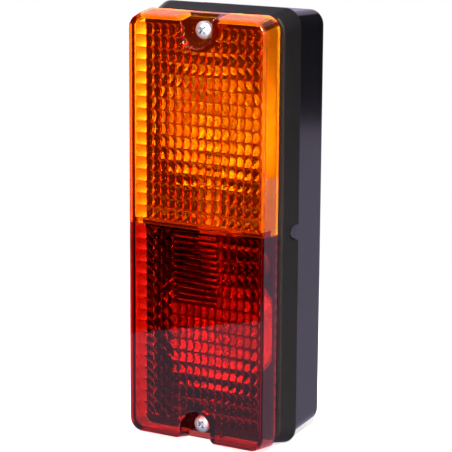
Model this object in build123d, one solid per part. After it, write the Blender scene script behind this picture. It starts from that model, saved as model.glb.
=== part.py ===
"""Two-chamber rear lamp: amber and red pillow-optic lens on a rubber rim and a moulded housing.

X runs to the right, Z up, and the lens faces -Y. The origin is the middle of the mounting face.
Sizes are in millimetres. A forward distance is measured from the mounting face towards the lens.
"""

import os
from math import cos, radians, sin, tan

from build123d import *

# Lens shell
LENS_HEIGHT = 190.6
LENS_WIDTH = 68.6
LENS_DEPTH = 13.5
LENS_END_GROWTH = 1.4
LENS_SIDE_GROWTH = 0.5
LENS_CORNER = 6.2
LENS_EDGE = 0.9
LENS_FRONT_WALL = 3.0
LENS_SIDE_WALL = 2.2

# Seam between the amber and the red half
SEAM_HEIGHT = 1.9
SEAM_SLOPE = 2.5
SEAM_RIB_HEIGHT = 2.1
SEAM_RIB_DEPTH = 8.0

# Screw notches in the lens ends
NOTCH_WIDTH = 15.4
NOTCH_REACH = 13.5
NOTCH_DEPTH = 8.4
NOTCH_FLOOR = 3.0
NOTCH_WALL = 2.0
NOTCH_MOUTH = 2.4

# Optics on the inner face of the lens
OPTIC_RISE = 1.2
OPTIC_ROOT = 0.6
OPTIC_MARGIN = 0.7
OPTIC_CREST_SHARE = 0.4
PILLOW_HEIGHT = 5.44
PILLOW_COLUMNS = 15
PILLOW_ROWS = 16
EDGE_COLUMN_WIDTH = 5.2
AMBER_TOP_BORDER = 3.8
RED_TOP_BORDER = 1.6
RED_ROWS = 16
STRIPE_COLUMN_WIDTH = 3.6
DIAMOND_FIELD_WIDTH = 10.3
DIAMOND_PITCH = 4.0
DIAMOND_TURN = 45.0
BAR_FIELD_WIDTH = 22.0
BAR_FIELD_ROWS = 6

# Rubber rim
RIM_DEPTH = 14.5
RIM_OVERHANG = 2.0
RIM_CORNER = 7.5
RIM_WEB = 2.0
RIM_LIP = 0.6
RIM_EDGE = 0.7
RIM_GROOVE = 0.7
RIM_NOTCH_WIDTH = 7.2
RIM_NOTCH_DEPTH = 6.5

# Housing
HOUSING_DEPTH = 28.0
HOUSING_INSET = 2.0
HOUSING_DRAFT = 2.6
HOUSING_CORNER = 6.8
HOUSING_WALL = 2.6
HOUSING_BACK_WALL = 2.5
HOUSING_BACK_EDGE = 1.4
SPIGOT_STEP = 1.0
LUG_WIDTH = 5.6
LUG_LENGTH = 4.0

# Lens screws
LENS_SCREW_INSET = 6.2
LENS_SCREW_RADIUS = 2.0
LENS_SCREW_LENGTH = 25.0
LENS_SCREW_HEAD_RADIUS = 4.0
LENS_SCREW_HEAD_HEIGHT = 2.8
LENS_SCREW_BOSS_RADIUS = 3.8
CROSS_WIDTH = 1.1
CROSS_SPAN = 4.4
CROSS_DEPTH = 1.5
CROSS_TURN = 45.0

# Bulbs, measured along the bulb from its contact face
BULB_FORWARD = 32.0
BULB_PIN_HEIGHT = 6.7
BULB_PIN_RADIUS = 0.95
BULB_PIN_REACH = 1.3
BULB_PIN_STAGGER = 3.0
BULB_LIGHT_HEIGHT = 38.5
BULB_CAP_RADIUS = 7.5
BULB_CAP_WALL = 0.35
BULB_CAP_BASE = 1.0
BULB_CAP_LENGTH = 13.5
BULB_CONTACT_HEIGHT = 0.5
BULB_CONTACT_RADIUS = 1.8
BULB_NOSE_RADIUS = 5.8
BULB_INSULATOR_DEPTH = 2.2
BULB_GLASS_RADIUS = 12.5
BULB_GLASS_WALL = 0.7
BULB_SHOULDER_ANGLE = -20.0
BULB_RINGS = 3
BULB_NECK_LENGTH = 7.0
BULB_NECK_ENTRY = 3.5
BULB_STEM_RADIUS = 3.6
BULB_STEM_LENGTH = 13.0
BULB_STEM_FOOT = 1.5
FILAMENT_RADIUS = 0.45
FILAMENT_SPAN = 5.0
LEAD_RADIUS = 0.3
TAIL_FILAMENT_OFFSET = 2.6

# Bulb sockets and their bracket
SOCKET_WALL = 0.5
SOCKET_LENGTH = 13.5
SOCKET_SLOT_TURN = 28.0
SOCKET_SLOT_CUT = 2.0
BRACKET_SHEET = 1.0
BRACKET_GAP = 10.0
BRACKET_WIDTH = 18.0
BRACKET_FOOT_SPAN = 40.0
BRACKET_SCREW_SPACING = 30.0
BRACKET_POST_HEIGHT = 2.0
EAR_HOLE_RADIUS = 5.6
EARTH_TAB_WIDTH = 4.8
EARTH_TAB_LENGTH = 9.0

# Insulating carrier and the contacts in it
CARRIER_WIDTH = 14.0
CARRIER_BACK = 10.0
CARRIER_NOSE = 1.4
CONTACT_SHEET = 0.8
CONTACT_SPREAD = 3.4
CONTACT_PAD = 0.6
CONTACT_PIN_RADIUS = 1.0
CONTACT_LIMB = 3.0
CONTACT_LAYER = 1.6
TAB_WIDTH = 4.8
TAB_LENGTH = 7.5
INDICATOR_TAB_FORWARD = 14.0
STOP_TAIL_TAB_FORWARD = 23.0

# Reflector dishes
DISH_RADIUS = 26.0
DISH_LAND_RADIUS = 7.0
DISH_LAND_FORWARD = 16.5
DISH_SAG = 14.0
DISH_BELLY_SHARE = 0.32
DISH_SHEET = 0.8
DISH_LIP = 1.5
DISH_NECK_GAP = 1.2
DISH_POST_RADIUS = 4.5

# Small screws of the bracket and the dishes
SMALL_SCREW_RADIUS = 1.3
SMALL_SCREW_HEAD_RADIUS = 2.7
SMALL_SCREW_HEAD_HEIGHT = 1.6
SMALL_SCREW_GRIP = 3.0
SMALL_POST_RADIUS = 3.4

# Divider between the chambers
DIVIDER_SHEET = 1.4
DIVIDER_LEG = 9.0
DIVIDER_RIB = 1.6
DIVIDER_RIB_REACH = 2.2

# Back of the housing
STUD_SPACING = 120.0
STUD_RADIUS = 3.0
STUD_NECK_RADIUS = 3.5
STUD_LENGTH = 18.0
STUD_TIP = 0.8
STUD_HEAD_RADIUS = 5.6
STUD_HEAD_HEIGHT = 4.0
STUD_BOSS_RADIUS = 8.0
STUD_BOSS_FLOOR = 3.6
GROMMET_HEIGHT = -24.0
GROMMET_BORE_RADIUS = 3.5
GROMMET_NECK_RADIUS = 5.6
GROMMET_FLANGE_RADIUS = 8.0
GROMMET_FLANGE = 1.6

# Clearances
FIT = 0.1
SCREW_HOLE_GAP = 0.3
SLOT_GAP = 0.2

# Forward distances of the main planes
SHOULDER = HOUSING_DEPTH
SEAT = SHOULDER + RIM_DEPTH
FRONT = SEAT + LENS_DEPTH
OPTIC_FACE = FRONT - LENS_FRONT_WALL
NOTCH_FACE = FRONT - NOTCH_DEPTH
NOTCH_BACK = NOTCH_FACE - NOTCH_FLOOR

# Outlines that follow from the lens
FOOT_WIDTH = LENS_WIDTH + 2 * LENS_SIDE_GROWTH
FOOT_HEIGHT = LENS_HEIGHT + 2 * LENS_END_GROWTH
FOOT_CORNER = LENS_CORNER + LENS_END_GROWTH
RIM_WIDTH = FOOT_WIDTH + 2 * RIM_OVERHANG
RIM_HEIGHT = FOOT_HEIGHT + 2 * RIM_OVERHANG
SHELL_WIDTH = RIM_WIDTH - 2 * HOUSING_INSET
SHELL_HEIGHT = RIM_HEIGHT - 2 * HOUSING_INSET
SPIGOT_WIDTH = SHELL_WIDTH - 2 * SPIGOT_STEP
SPIGOT_HEIGHT = SHELL_HEIGHT - 2 * SPIGOT_STEP
SPIGOT_CORNER = HOUSING_CORNER - SPIGOT_STEP
MOUTH_WIDTH = SPIGOT_WIDTH - 2 * HOUSING_WALL
MOUTH_HEIGHT = SPIGOT_HEIGHT - 2 * HOUSING_WALL
MOUTH_CORNER = SPIGOT_CORNER - HOUSING_WALL
SPIGOT_END = SEAT - RIM_WEB - FIT
MOUTH_TAPER = SPIGOT_END * tan(radians(HOUSING_DRAFT))
LENS_SCREW_HEIGHT = LENS_HEIGHT / 2 - LENS_SCREW_INSET

# Stations along a bulb, measured from the lamp's middle
EAR_FACE = BRACKET_GAP / 2 + BRACKET_SHEET
NOSE_FACE = EAR_FACE + CARRIER_NOSE
PAD_FACE = NOSE_FACE + CONTACT_PAD
PIN_HEIGHT = PAD_FACE + BULB_PIN_HEIGHT
LIGHT_HEIGHT = PAD_FACE + BULB_LIGHT_HEIGHT
CAP_FOOT = PAD_FACE + BULB_CAP_BASE
CAP_TOP = CAP_FOOT + BULB_CAP_LENGTH
SOCKET_INNER = BULB_CAP_RADIUS + SLOT_GAP
SOCKET_OUTER = SOCKET_INNER + SOCKET_WALL
BRACKET_BASE = HOUSING_BACK_WALL + BRACKET_POST_HEIGHT
BULB_AXIS = Pos(0, -BULB_FORWARD, 0)


def at(forward):
    """Plane across the lamp at a forward distance, its normal towards the lens."""
    return Plane.XZ.offset(forward)


def slab(width, height, corner, start, end):
    """Rounded block across the lamp between two forward distances."""
    return extrude(at(start) * RectangleRounded(width, height, corner), end - start)


def rod(x, z, radius, start, end):
    """Round bar that points forward."""
    return extrude(at(start) * Pos(x, z) * Circle(radius), end - start)


def block(left, right, back, front, bottom, top):
    """Plain block between given sides, with its back and front as forward distances."""
    middle = Pos((left + right) / 2, -(back + front) / 2, (bottom + top) / 2)
    return middle * Box(right - left, front - back, top - bottom)


def turned(points):
    """Solid of revolution about Z from its half section, given as radius and height."""
    return revolve(Plane.XZ * make_face(Polyline(*points, close=True)), Axis.Z)


def upside_down(part):
    """Mirror image of a piece in the lamp's horizontal middle plane."""
    return mirror(part, about=Plane.XY)


def pair(part):
    """A piece and its mirror image below the lamp's middle."""
    return part + upside_down(part)


# Lens


def notch_outline(radius):
    """U-shaped outline of the upper screw notch, open at the lens end."""
    middle = LENS_HEIGHT / 2 - NOTCH_REACH + NOTCH_WIDTH / 2
    mouth = Pos(0, middle + NOTCH_REACH / 2) * Rectangle(2 * radius, NOTCH_REACH)
    return mouth + Pos(0, middle) * Circle(radius)


def lens_shell():
    """Hollow two-colour shell with its screw notches and bevelled front edges."""
    front = at(FRONT) * RectangleRounded(LENS_WIDTH, LENS_HEIGHT, LENS_CORNER)
    foot = at(SEAT) * RectangleRounded(FOOT_WIDTH, FOOT_HEIGHT, FOOT_CORNER)
    notch = extrude(at(NOTCH_FACE) * notch_outline(NOTCH_WIDTH / 2), 2 * NOTCH_DEPTH)
    shell = loft([foot, front]) - pair(notch)
    mouths = [
        edge
        for edge in shell.edges()
        if abs(edge.center().Z) > LENS_HEIGHT / 2
        and abs(abs(edge.center().X) - NOTCH_WIDTH / 2) < FIT
        and edge.center().Y < -NOTCH_FACE
    ]
    shell = fillet(mouths, NOTCH_MOUTH)
    shell = chamfer(shell.faces().sort_by(Axis.Y)[0].edges(), LENS_EDGE)
    inner = loft(
        [
            at(SEAT)
            * RectangleRounded(
                FOOT_WIDTH - 2 * LENS_SIDE_WALL,
                FOOT_HEIGHT - 2 * LENS_SIDE_WALL,
                FOOT_CORNER - LENS_SIDE_WALL,
            ),
            at(OPTIC_FACE)
            * RectangleRounded(
                LENS_WIDTH - 2 * LENS_SIDE_WALL,
                LENS_HEIGHT - 2 * LENS_SIDE_WALL,
                LENS_CORNER - LENS_SIDE_WALL,
            ),
        ]
    )
    casing = extrude(at(NOTCH_BACK) * notch_outline(NOTCH_WIDTH / 2 + NOTCH_WALL), LENS_DEPTH)
    hole = rod(0, LENS_SCREW_HEIGHT, LENS_SCREW_RADIUS + SCREW_HOLE_GAP, SEAT, FRONT)
    return shell - (inner - pair(casing)) - pair(hole)


def flat_teeth(edges):
    """Outline of flat-topped teeth between given edges, as place and rise."""
    line = [(edges[0], -OPTIC_ROOT)]
    for start, end in zip(edges, edges[1:]):
        slope = (end - start) * (1 - OPTIC_CREST_SHARE) / 2
        line += [(start, 0), (start + slope, OPTIC_RISE), (end - slope, OPTIC_RISE)]
    return line + [(edges[-1], 0), (edges[-1], -OPTIC_ROOT)]


def sharp_teeth(edges):
    """Outline of pointed teeth between given edges, as place and rise."""
    line = [(edges[0], -OPTIC_ROOT)]
    for start, end in zip(edges, edges[1:]):
        line += [(start, 0), ((start + end) / 2, OPTIC_RISE)]
    return line + [(edges[-1], 0), (edges[-1], -OPTIC_ROOT)]


def upright_ribs(teeth, bottom, top):
    """Upright ribs on the inner face of the lens."""
    face = Plane((0, -OPTIC_FACE, bottom)) * make_face(Polyline(*teeth, close=True))
    return extrude(face, top - bottom)


def columns(edges, bottom, top):
    """Flat-topped upright ribs between given edges."""
    return upright_ribs(flat_teeth(edges), bottom, top)


def rows(edges, left, right):
    """Pointed level ribs on the inner face of the lens."""
    plane = Plane((right, -OPTIC_FACE, 0), x_dir=(0, 0, 1), z_dir=(-1, 0, 0))
    face = plane * make_face(Polyline(*sharp_teeth(edges), close=True))
    return extrude(face, right - left)


def steps(start, end, count):
    """Evenly spaced edges from start to end."""
    return [start + (end - start) * index / count for index in range(count + 1)]


def notch_core():
    """Space of both notches and half their walls, which no optic enters."""
    outline = notch_outline((NOTCH_WIDTH + NOTCH_WALL) / 2)
    return pair(extrude(at(NOTCH_BACK) * outline, LENS_DEPTH))


FIELD_RIGHT = LENS_WIDTH / 2 - LENS_SIDE_WALL - OPTIC_MARGIN
FIELD_LEFT = -FIELD_RIGHT
EDGE_COLUMN_END = FIELD_LEFT + EDGE_COLUMN_WIDTH


def amber_optics():
    """Pillows of the amber half: one wide column at the left, then even columns."""
    top = LENS_HEIGHT / 2 - AMBER_TOP_BORDER
    bottom = top - PILLOW_ROWS * PILLOW_HEIGHT
    edges = [FIELD_LEFT] + steps(EDGE_COLUMN_END, FIELD_RIGHT, PILLOW_COLUMNS)
    field = columns(edges, bottom, top) & rows(steps(bottom, top, PILLOW_ROWS), FIELD_LEFT, FIELD_RIGHT)
    return field - notch_core()


def red_optics():
    """Fields of the red half: pillows at both sides, diamonds, level bars and upright flutes."""
    top = SEAM_HEIGHT - RED_TOP_BORDER
    bottom = top - RED_ROWS * PILLOW_HEIGHT
    row_edges = steps(bottom, top, RED_ROWS)
    stripe_end = EDGE_COLUMN_END + STRIPE_COLUMN_WIDTH
    diamond_end = stripe_end + DIAMOND_FIELD_WIDTH
    bar_end = diamond_end + BAR_FIELD_WIDTH
    bar_bottom = top - BAR_FIELD_ROWS * PILLOW_HEIGHT
    pillow_width = (FIELD_RIGHT - EDGE_COLUMN_END) / PILLOW_COLUMNS
    all_rows = rows(row_edges, FIELD_LEFT, FIELD_RIGHT)

    left = columns([FIELD_LEFT, EDGE_COLUMN_END, stripe_end], bottom, top) & all_rows
    right_count = round((FIELD_RIGHT - bar_end) / pillow_width)
    right = columns(steps(bar_end, FIELD_RIGHT, right_count), bottom, top) & all_rows
    flute_count = round(BAR_FIELD_WIDTH / pillow_width)
    flutes = columns(steps(diamond_end, bar_end, flute_count), bottom, bar_bottom) & all_rows
    bars = rows(steps(bar_bottom, top, 2 * BAR_FIELD_ROWS), diamond_end, bar_end)

    reach = top - bottom
    count = round(reach / DIAMOND_PITCH)
    weave_edges = steps(-reach / 2, reach / 2, count)
    weave = upright_ribs(sharp_teeth(weave_edges), -reach, reach)
    turn = Pos((stripe_end + diamond_end) / 2, 0, (top + bottom) / 2)
    frame = block(stripe_end, diamond_end, OPTIC_FACE - OPTIC_RISE, OPTIC_FACE + OPTIC_ROOT, bottom, top)
    diamonds = turn * Rot(0, DIAMOND_TURN, 0) * weave & turn * Rot(0, -DIAMOND_TURN, 0) * weave & frame
    return left + right + flutes + bars + diamonds - notch_core()


def lens_halves():
    """Amber and red half of the lens, parted at the sloping seam."""
    slope = radians(SEAM_SLOPE)
    seam = Plane((0, -FRONT, SEAM_HEIGHT), x_dir=(1, 0, 0), z_dir=(0, -sin(slope), cos(slope)))
    shell = lens_shell()
    half_width = LENS_WIDTH / 2 - LENS_SIDE_WALL / 2
    rib = block(
        -half_width,
        half_width,
        FRONT - SEAM_RIB_DEPTH,
        OPTIC_FACE + OPTIC_ROOT,
        SEAM_HEIGHT - SEAM_RIB_HEIGHT,
        SEAM_HEIGHT + SEAM_RIB_HEIGHT,
    )
    amber = split(shell + rib, bisect_by=seam, keep=Keep.TOP) + amber_optics()
    red = split(shell, bisect_by=seam, keep=Keep.BOTTOM) + red_optics()
    return amber, red


def lens_screws():
    """Two pan-head screws with cross recesses, heads on the notch floors."""
    head_end = NOTCH_FACE + LENS_SCREW_HEAD_HEIGHT
    head = rod(0, LENS_SCREW_HEIGHT, LENS_SCREW_HEAD_RADIUS, NOTCH_FACE, head_end)
    head = chamfer(head.edges().sort_by(Axis.Y)[0], LENS_SCREW_HEAD_HEIGHT / 2)
    shank = rod(0, LENS_SCREW_HEIGHT, LENS_SCREW_RADIUS, NOTCH_FACE - LENS_SCREW_LENGTH, NOTCH_FACE)
    centre = at(head_end - CROSS_DEPTH) * Pos(0, LENS_SCREW_HEIGHT) * Rot(0, 0, CROSS_TURN)
    cross = centre * (Rectangle(CROSS_WIDTH, CROSS_SPAN) + Rectangle(CROSS_SPAN, CROSS_WIDTH))
    return pair(head + shank - extrude(cross, 2 * CROSS_DEPTH))


# Rim and housing


def side_tongue(width, length, reach):
    """Round-nosed tongue across the lamp at mid-height, from the shoulder forward."""
    straight = length - width / 2
    outline = Pos(0, straight / 2) * Rectangle(width, straight) + Pos(0, straight) * Circle(width / 2)
    plane = Plane((-reach, -SHOULDER, 0), x_dir=(0, 0, 1), z_dir=(1, 0, 0))
    return extrude(plane * outline, 2 * reach)


def rim_gasket():
    """Thick rubber rim: a sleeve over the housing's spigot with a web under the lens foot."""
    rim = slab(RIM_WIDTH, RIM_HEIGHT, RIM_CORNER, SHOULDER, SEAT + RIM_LIP)
    rim = chamfer(rim.faces().sort_by(Axis.Y)[0].edges(), RIM_EDGE)
    spigot = slab(
        SPIGOT_WIDTH + 2 * FIT, SPIGOT_HEIGHT + 2 * FIT, SPIGOT_CORNER + FIT, SHOULDER, SEAT - RIM_WEB
    )
    mouth = slab(MOUTH_WIDTH, MOUTH_HEIGHT, MOUTH_CORNER, SHOULDER, SEAT + RIM_LIP)
    recess = slab(
        FOOT_WIDTH + 2 * RIM_GROOVE,
        FOOT_HEIGHT + 2 * RIM_GROOVE,
        FOOT_CORNER + RIM_GROOVE,
        SEAT,
        SEAT + RIM_LIP,
    )
    boss = rod(0, LENS_SCREW_HEIGHT, LENS_SCREW_BOSS_RADIUS + FIT, SHOULDER, SEAT)
    notch = side_tongue(RIM_NOTCH_WIDTH, RIM_NOTCH_DEPTH, RIM_WIDTH)
    return rim - spigot - mouth - recess - pair(boss) - notch


def housing_shell():
    """Drafted cup with a stepped spigot for the rim and a lug at each side."""
    shoulder = at(SHOULDER) * RectangleRounded(SHELL_WIDTH, SHELL_HEIGHT, HOUSING_CORNER)
    shell = extrude(shoulder, -HOUSING_DEPTH, taper=HOUSING_DRAFT)
    shell = chamfer(shell.faces().sort_by(Axis.Y)[-1].edges(), HOUSING_BACK_EDGE)
    lugs = side_tongue(LUG_WIDTH, LUG_LENGTH, SHELL_WIDTH / 2)
    shell += slab(SPIGOT_WIDTH, SPIGOT_HEIGHT, SPIGOT_CORNER, SHOULDER, SPIGOT_END) + lugs
    mouth = at(SPIGOT_END) * RectangleRounded(MOUTH_WIDTH, MOUTH_HEIGHT, MOUTH_CORNER)
    return shell - extrude(mouth, HOUSING_BACK_WALL - SPIGOT_END, taper=HOUSING_DRAFT)


def divider_height():
    """Height of the divider's middle, behind the seam rib of the amber half."""
    return SEAM_HEIGHT + SEAM_RIB_HEIGHT / 2


def divider_ribs():
    """Pairs of ribs on the side walls that hold the divider's legs."""
    outer = SPIGOT_WIDTH / 2 - HOUSING_WALL / 2
    inner = MOUTH_WIDTH / 2 - MOUTH_TAPER - DIVIDER_RIB_REACH
    gap = DIVIDER_SHEET / 2 + FIT
    ribs = Part()
    for side in (-1, 1):
        for level in (-1, 1):
            low, high = sorted((level * gap, level * (gap + DIVIDER_RIB)))
            left, right = sorted((side * inner, side * outer))
            height = divider_height()
            ribs += block(left, right, HOUSING_BACK_WALL / 2, SHOULDER, height + low, height + high)
    return ribs


def rear_housing():
    """Moulded housing with screw bosses, posts, divider ribs and the fittings of its back."""
    root = HOUSING_BACK_WALL / 2
    boss = rod(0, LENS_SCREW_HEIGHT, LENS_SCREW_BOSS_RADIUS, root, NOTCH_BACK - FIT)
    dish_post = rod(0, LIGHT_HEIGHT, DISH_POST_RADIUS, root, DISH_LAND_FORWARD - DISH_SHEET)
    stud_top = STUD_BOSS_FLOOR + STUD_HEAD_HEIGHT
    stud_boss = rod(0, STUD_SPACING / 2, STUD_BOSS_RADIUS, root, stud_top)
    housing = housing_shell() + pair(boss + dish_post + stud_boss) + divider_ribs()
    for side in (-1, 1):
        housing += rod(side * BRACKET_SCREW_SPACING / 2, 0, SMALL_POST_RADIUS, root, BRACKET_BASE)
    grommet_wall = GROMMET_FLANGE + HOUSING_BACK_WALL
    housing += rod(0, GROMMET_HEIGHT, GROMMET_FLANGE_RADIUS + HOUSING_WALL, root, grommet_wall)

    screw_end = NOTCH_FACE - LENS_SCREW_LENGTH
    pilot = rod(0, LENS_SCREW_HEIGHT, LENS_SCREW_RADIUS + FIT, screw_end - FIT, SEAT + LENS_DEPTH)
    small_pilot = SMALL_SCREW_RADIUS + FIT / 2
    dish_end = DISH_LAND_FORWARD - DISH_SHEET
    dish_pilot = rod(0, LIGHT_HEIGHT, small_pilot, dish_end - SMALL_SCREW_GRIP - FIT, DISH_LAND_FORWARD)
    stud_hole = rod(0, STUD_SPACING / 2, STUD_NECK_RADIUS + FIT, 0, stud_top)
    hexagon = at(STUD_BOSS_FLOOR) * Pos(0, STUD_SPACING / 2)
    stud_pocket = extrude(hexagon * RegularPolygon(STUD_HEAD_RADIUS + FIT, 6), stud_top)
    housing -= pair(pilot + dish_pilot + stud_hole + stud_pocket)
    for side in (-1, 1):
        x = side * BRACKET_SCREW_SPACING / 2
        housing -= rod(x, 0, small_pilot, BRACKET_BASE - SMALL_SCREW_GRIP - FIT, BRACKET_BASE)
    housing -= rod(0, GROMMET_HEIGHT, GROMMET_FLANGE_RADIUS + FIT, 0, GROMMET_FLANGE)
    return housing - rod(0, GROMMET_HEIGHT, GROMMET_NECK_RADIUS + FIT, 0, SHOULDER)


def mounting_studs():
    """Two hexagon-headed studs, necked in the housing, that stand out of its back."""
    hexagon = at(STUD_BOSS_FLOOR) * Pos(0, STUD_SPACING / 2)
    head = extrude(hexagon * RegularPolygon(STUD_HEAD_RADIUS, 6), STUD_HEAD_HEIGHT)
    neck = rod(0, STUD_SPACING / 2, STUD_NECK_RADIUS, 0, STUD_BOSS_FLOOR)
    shank = rod(0, STUD_SPACING / 2, STUD_RADIUS, -STUD_LENGTH, 0)
    tip = shank.edges().sort_by(Axis.Y)[-1]
    return pair(head + neck + chamfer(tip, STUD_TIP))


def cable_grommet():
    """Rubber inlet sunk in the housing's back, its two flanges on either side of the wall."""
    wall = HOUSING_BACK_WALL
    inner = GROMMET_FLANGE + wall
    body = rod(0, GROMMET_HEIGHT, GROMMET_FLANGE_RADIUS, 0, GROMMET_FLANGE)
    body += rod(0, GROMMET_HEIGHT, GROMMET_NECK_RADIUS, 0, inner)
    body += rod(0, GROMMET_HEIGHT, GROMMET_FLANGE_RADIUS, inner, inner + GROMMET_FLANGE)
    return body - rod(0, GROMMET_HEIGHT, GROMMET_BORE_RADIUS, 0, inner + GROMMET_FLANGE)


# Reflectors, divider and small screws


def reflector():
    """Pressed dish with a flat land, a rolled lip and a cut for the bulb's neck."""
    rim = DISH_LAND_FORWARD + DISH_SAG
    middle = (DISH_LAND_RADIUS + DISH_RADIUS) / 2
    belly = DISH_LAND_FORWARD + DISH_SAG * DISH_BELLY_SHARE
    edge = DISH_RADIUS + DISH_LIP
    hole = SMALL_SCREW_RADIUS + SCREW_HOLE_GAP
    front = [
        (hole, DISH_LAND_FORWARD),
        (DISH_LAND_RADIUS, DISH_LAND_FORWARD),
        (middle, belly),
        (DISH_RADIUS, rim),
        (edge, rim),
    ]
    section = front + [(radius, forward - DISH_SHEET) for radius, forward in reversed(front)]
    dish = Rot(90, 0, 0) * turned(section)
    neck = extrude(Circle(BULB_CAP_RADIUS + DISH_NECK_GAP), LIGHT_HEIGHT)
    return Pos(0, 0, LIGHT_HEIGHT) * dish - BULB_AXIS * neck


def small_screw(x, z, seat, end):
    """Small pan-head screw from its seat to a given end."""
    head = rod(x, z, SMALL_SCREW_HEAD_RADIUS, seat, seat + SMALL_SCREW_HEAD_HEIGHT)
    head = chamfer(head.edges().sort_by(Axis.Y)[0], SMALL_SCREW_HEAD_HEIGHT / 2)
    return head + rod(x, z, SMALL_SCREW_RADIUS, end, seat)


def reflector_screws():
    """One screw through the land of each dish into its post."""
    end = DISH_LAND_FORWARD - DISH_SHEET - SMALL_SCREW_GRIP
    return pair(small_screw(0, LIGHT_HEIGHT, DISH_LAND_FORWARD, end))


def bracket_screws():
    """Two screws through the bracket's feet into their posts."""
    seat = BRACKET_BASE + BRACKET_SHEET
    end = BRACKET_BASE - SMALL_SCREW_GRIP
    half = BRACKET_SCREW_SPACING / 2
    return small_screw(-half, 0, seat, end) + small_screw(half, 0, seat, end)


def chamber_divider():
    """Upright sheet behind the seam, with a leg each side of the bulb sockets."""
    half = MOUTH_WIDTH / 2 - MOUTH_TAPER - FIT
    height = divider_height()
    low, high = height - DIVIDER_SHEET / 2, height + DIVIDER_SHEET / 2
    bridge = BULB_FORWARD + BRACKET_WIDTH / 2 + FIT
    sheet = block(-half, half, bridge, FRONT - SEAM_RIB_DEPTH - FIT, low, high)
    for side in (-1, 1):
        left, right = sorted((side * half, side * (half - DIVIDER_LEG)))
        sheet += block(left, right, HOUSING_BACK_WALL, bridge, low, high)
    return sheet


# Bulb sockets, bracket and contacts


def socket(stagger):
    """Bayonet shell on a bracket ear, its slots set for pins that differ in height by stagger."""
    tube = turned(
        [
            (EAR_HOLE_RADIUS, EAR_FACE),
            (SOCKET_OUTER, EAR_FACE),
            (SOCKET_OUTER, EAR_FACE + SOCKET_LENGTH),
            (SOCKET_INNER, EAR_FACE + SOCKET_LENGTH),
            (SOCKET_INNER, EAR_FACE + SOCKET_WALL),
            (EAR_HOLE_RADIUS, EAR_FACE + SOCKET_WALL),
        ]
    )
    half = BULB_PIN_RADIUS + SLOT_GAP
    for side, lift in ((0, 0), (180, stagger)):
        height = PIN_HEIGHT + lift
        track = Plane.XZ * Pos(SOCKET_OUTER, height) * Rectangle(SOCKET_SLOT_CUT, 2 * half)
        entry = Pos(SOCKET_OUTER, 0, height + SOCKET_LENGTH / 2)
        entry *= Box(SOCKET_SLOT_CUT, 2 * half, SOCKET_LENGTH)
        seat = Pos(SOCKET_OUTER, 0, height) * Rot(0, 90, 0)
        seat *= Cylinder(half, SOCKET_SLOT_CUT)
        slot = revolve(track, Axis.Z, SOCKET_SLOT_TURN) + Rot(0, 0, SOCKET_SLOT_TURN) * entry + seat
        tube -= Rot(0, 0, side) * slot
    return BULB_AXIS * tube


def holder_bracket():
    """Folded steel bracket: two ears for the sockets, two feet and the earth tab."""
    half_gap = BRACKET_GAP / 2
    half_width = BRACKET_WIDTH / 2
    base_top = BRACKET_BASE + BRACKET_SHEET
    bracket = block(
        -BRACKET_FOOT_SPAN / 2, BRACKET_FOOT_SPAN / 2, BRACKET_BASE, base_top, -EAR_FACE, EAR_FACE
    )
    ear = block(-half_width, half_width, BRACKET_BASE, BULB_FORWARD, half_gap, EAR_FACE)
    ear += BULB_AXIS * Pos(0, 0, half_gap) * extrude(Circle(half_width), BRACKET_SHEET)
    ear -= BULB_AXIS * extrude(Circle(EAR_HOLE_RADIUS), LIGHT_HEIGHT)
    bracket += pair(ear)
    for side in (-1, 1):
        x = side * BRACKET_SCREW_SPACING / 2
        bracket -= rod(x, 0, SMALL_SCREW_RADIUS + SCREW_HOLE_GAP, 0, base_top)
    edge = -BRACKET_FOOT_SPAN / 2
    half_tab = EARTH_TAB_WIDTH / 2
    tab = block(edge, edge + BRACKET_SHEET, BRACKET_BASE, base_top + EARTH_TAB_LENGTH, -half_tab, half_tab)
    return bracket + tab


def contact(x, side, tab_forward):
    """Contact pad on its pin, and the flat blade that leads out of the carrier at one side."""
    low = CONTACT_LAYER
    high = CONTACT_LAYER + CONTACT_SHEET
    half = TAB_WIDTH / 2
    far = side * (CARRIER_WIDTH / 2 + TAB_LENGTH)
    left, right = sorted((x - side * CONTACT_PIN_RADIUS, far))
    blade = block(left, right, tab_forward - half, tab_forward + half, low, high)
    limb = CONTACT_LIMB / 2
    blade += block(x - limb, x + limb, tab_forward, BULB_FORWARD + limb, low, high)
    pin = BULB_AXIS * Pos(x, 0, low) * extrude(Circle(CONTACT_PIN_RADIUS), PAD_FACE - low)
    pad = BULB_AXIS * Pos(x, 0, NOSE_FACE) * extrude(Circle(BULB_CONTACT_RADIUS), CONTACT_PAD)
    return blade + pin + pad


def contacts():
    """Indicator contact above the middle, stop and tail contacts below it."""
    indicator = contact(0, 1, INDICATOR_TAB_FORWARD)
    stop = upside_down(contact(CONTACT_SPREAD, 1, STOP_TAIL_TAB_FORWARD))
    tail = upside_down(contact(-CONTACT_SPREAD, -1, STOP_TAIL_TAB_FORWARD))
    return indicator, stop, tail


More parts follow.
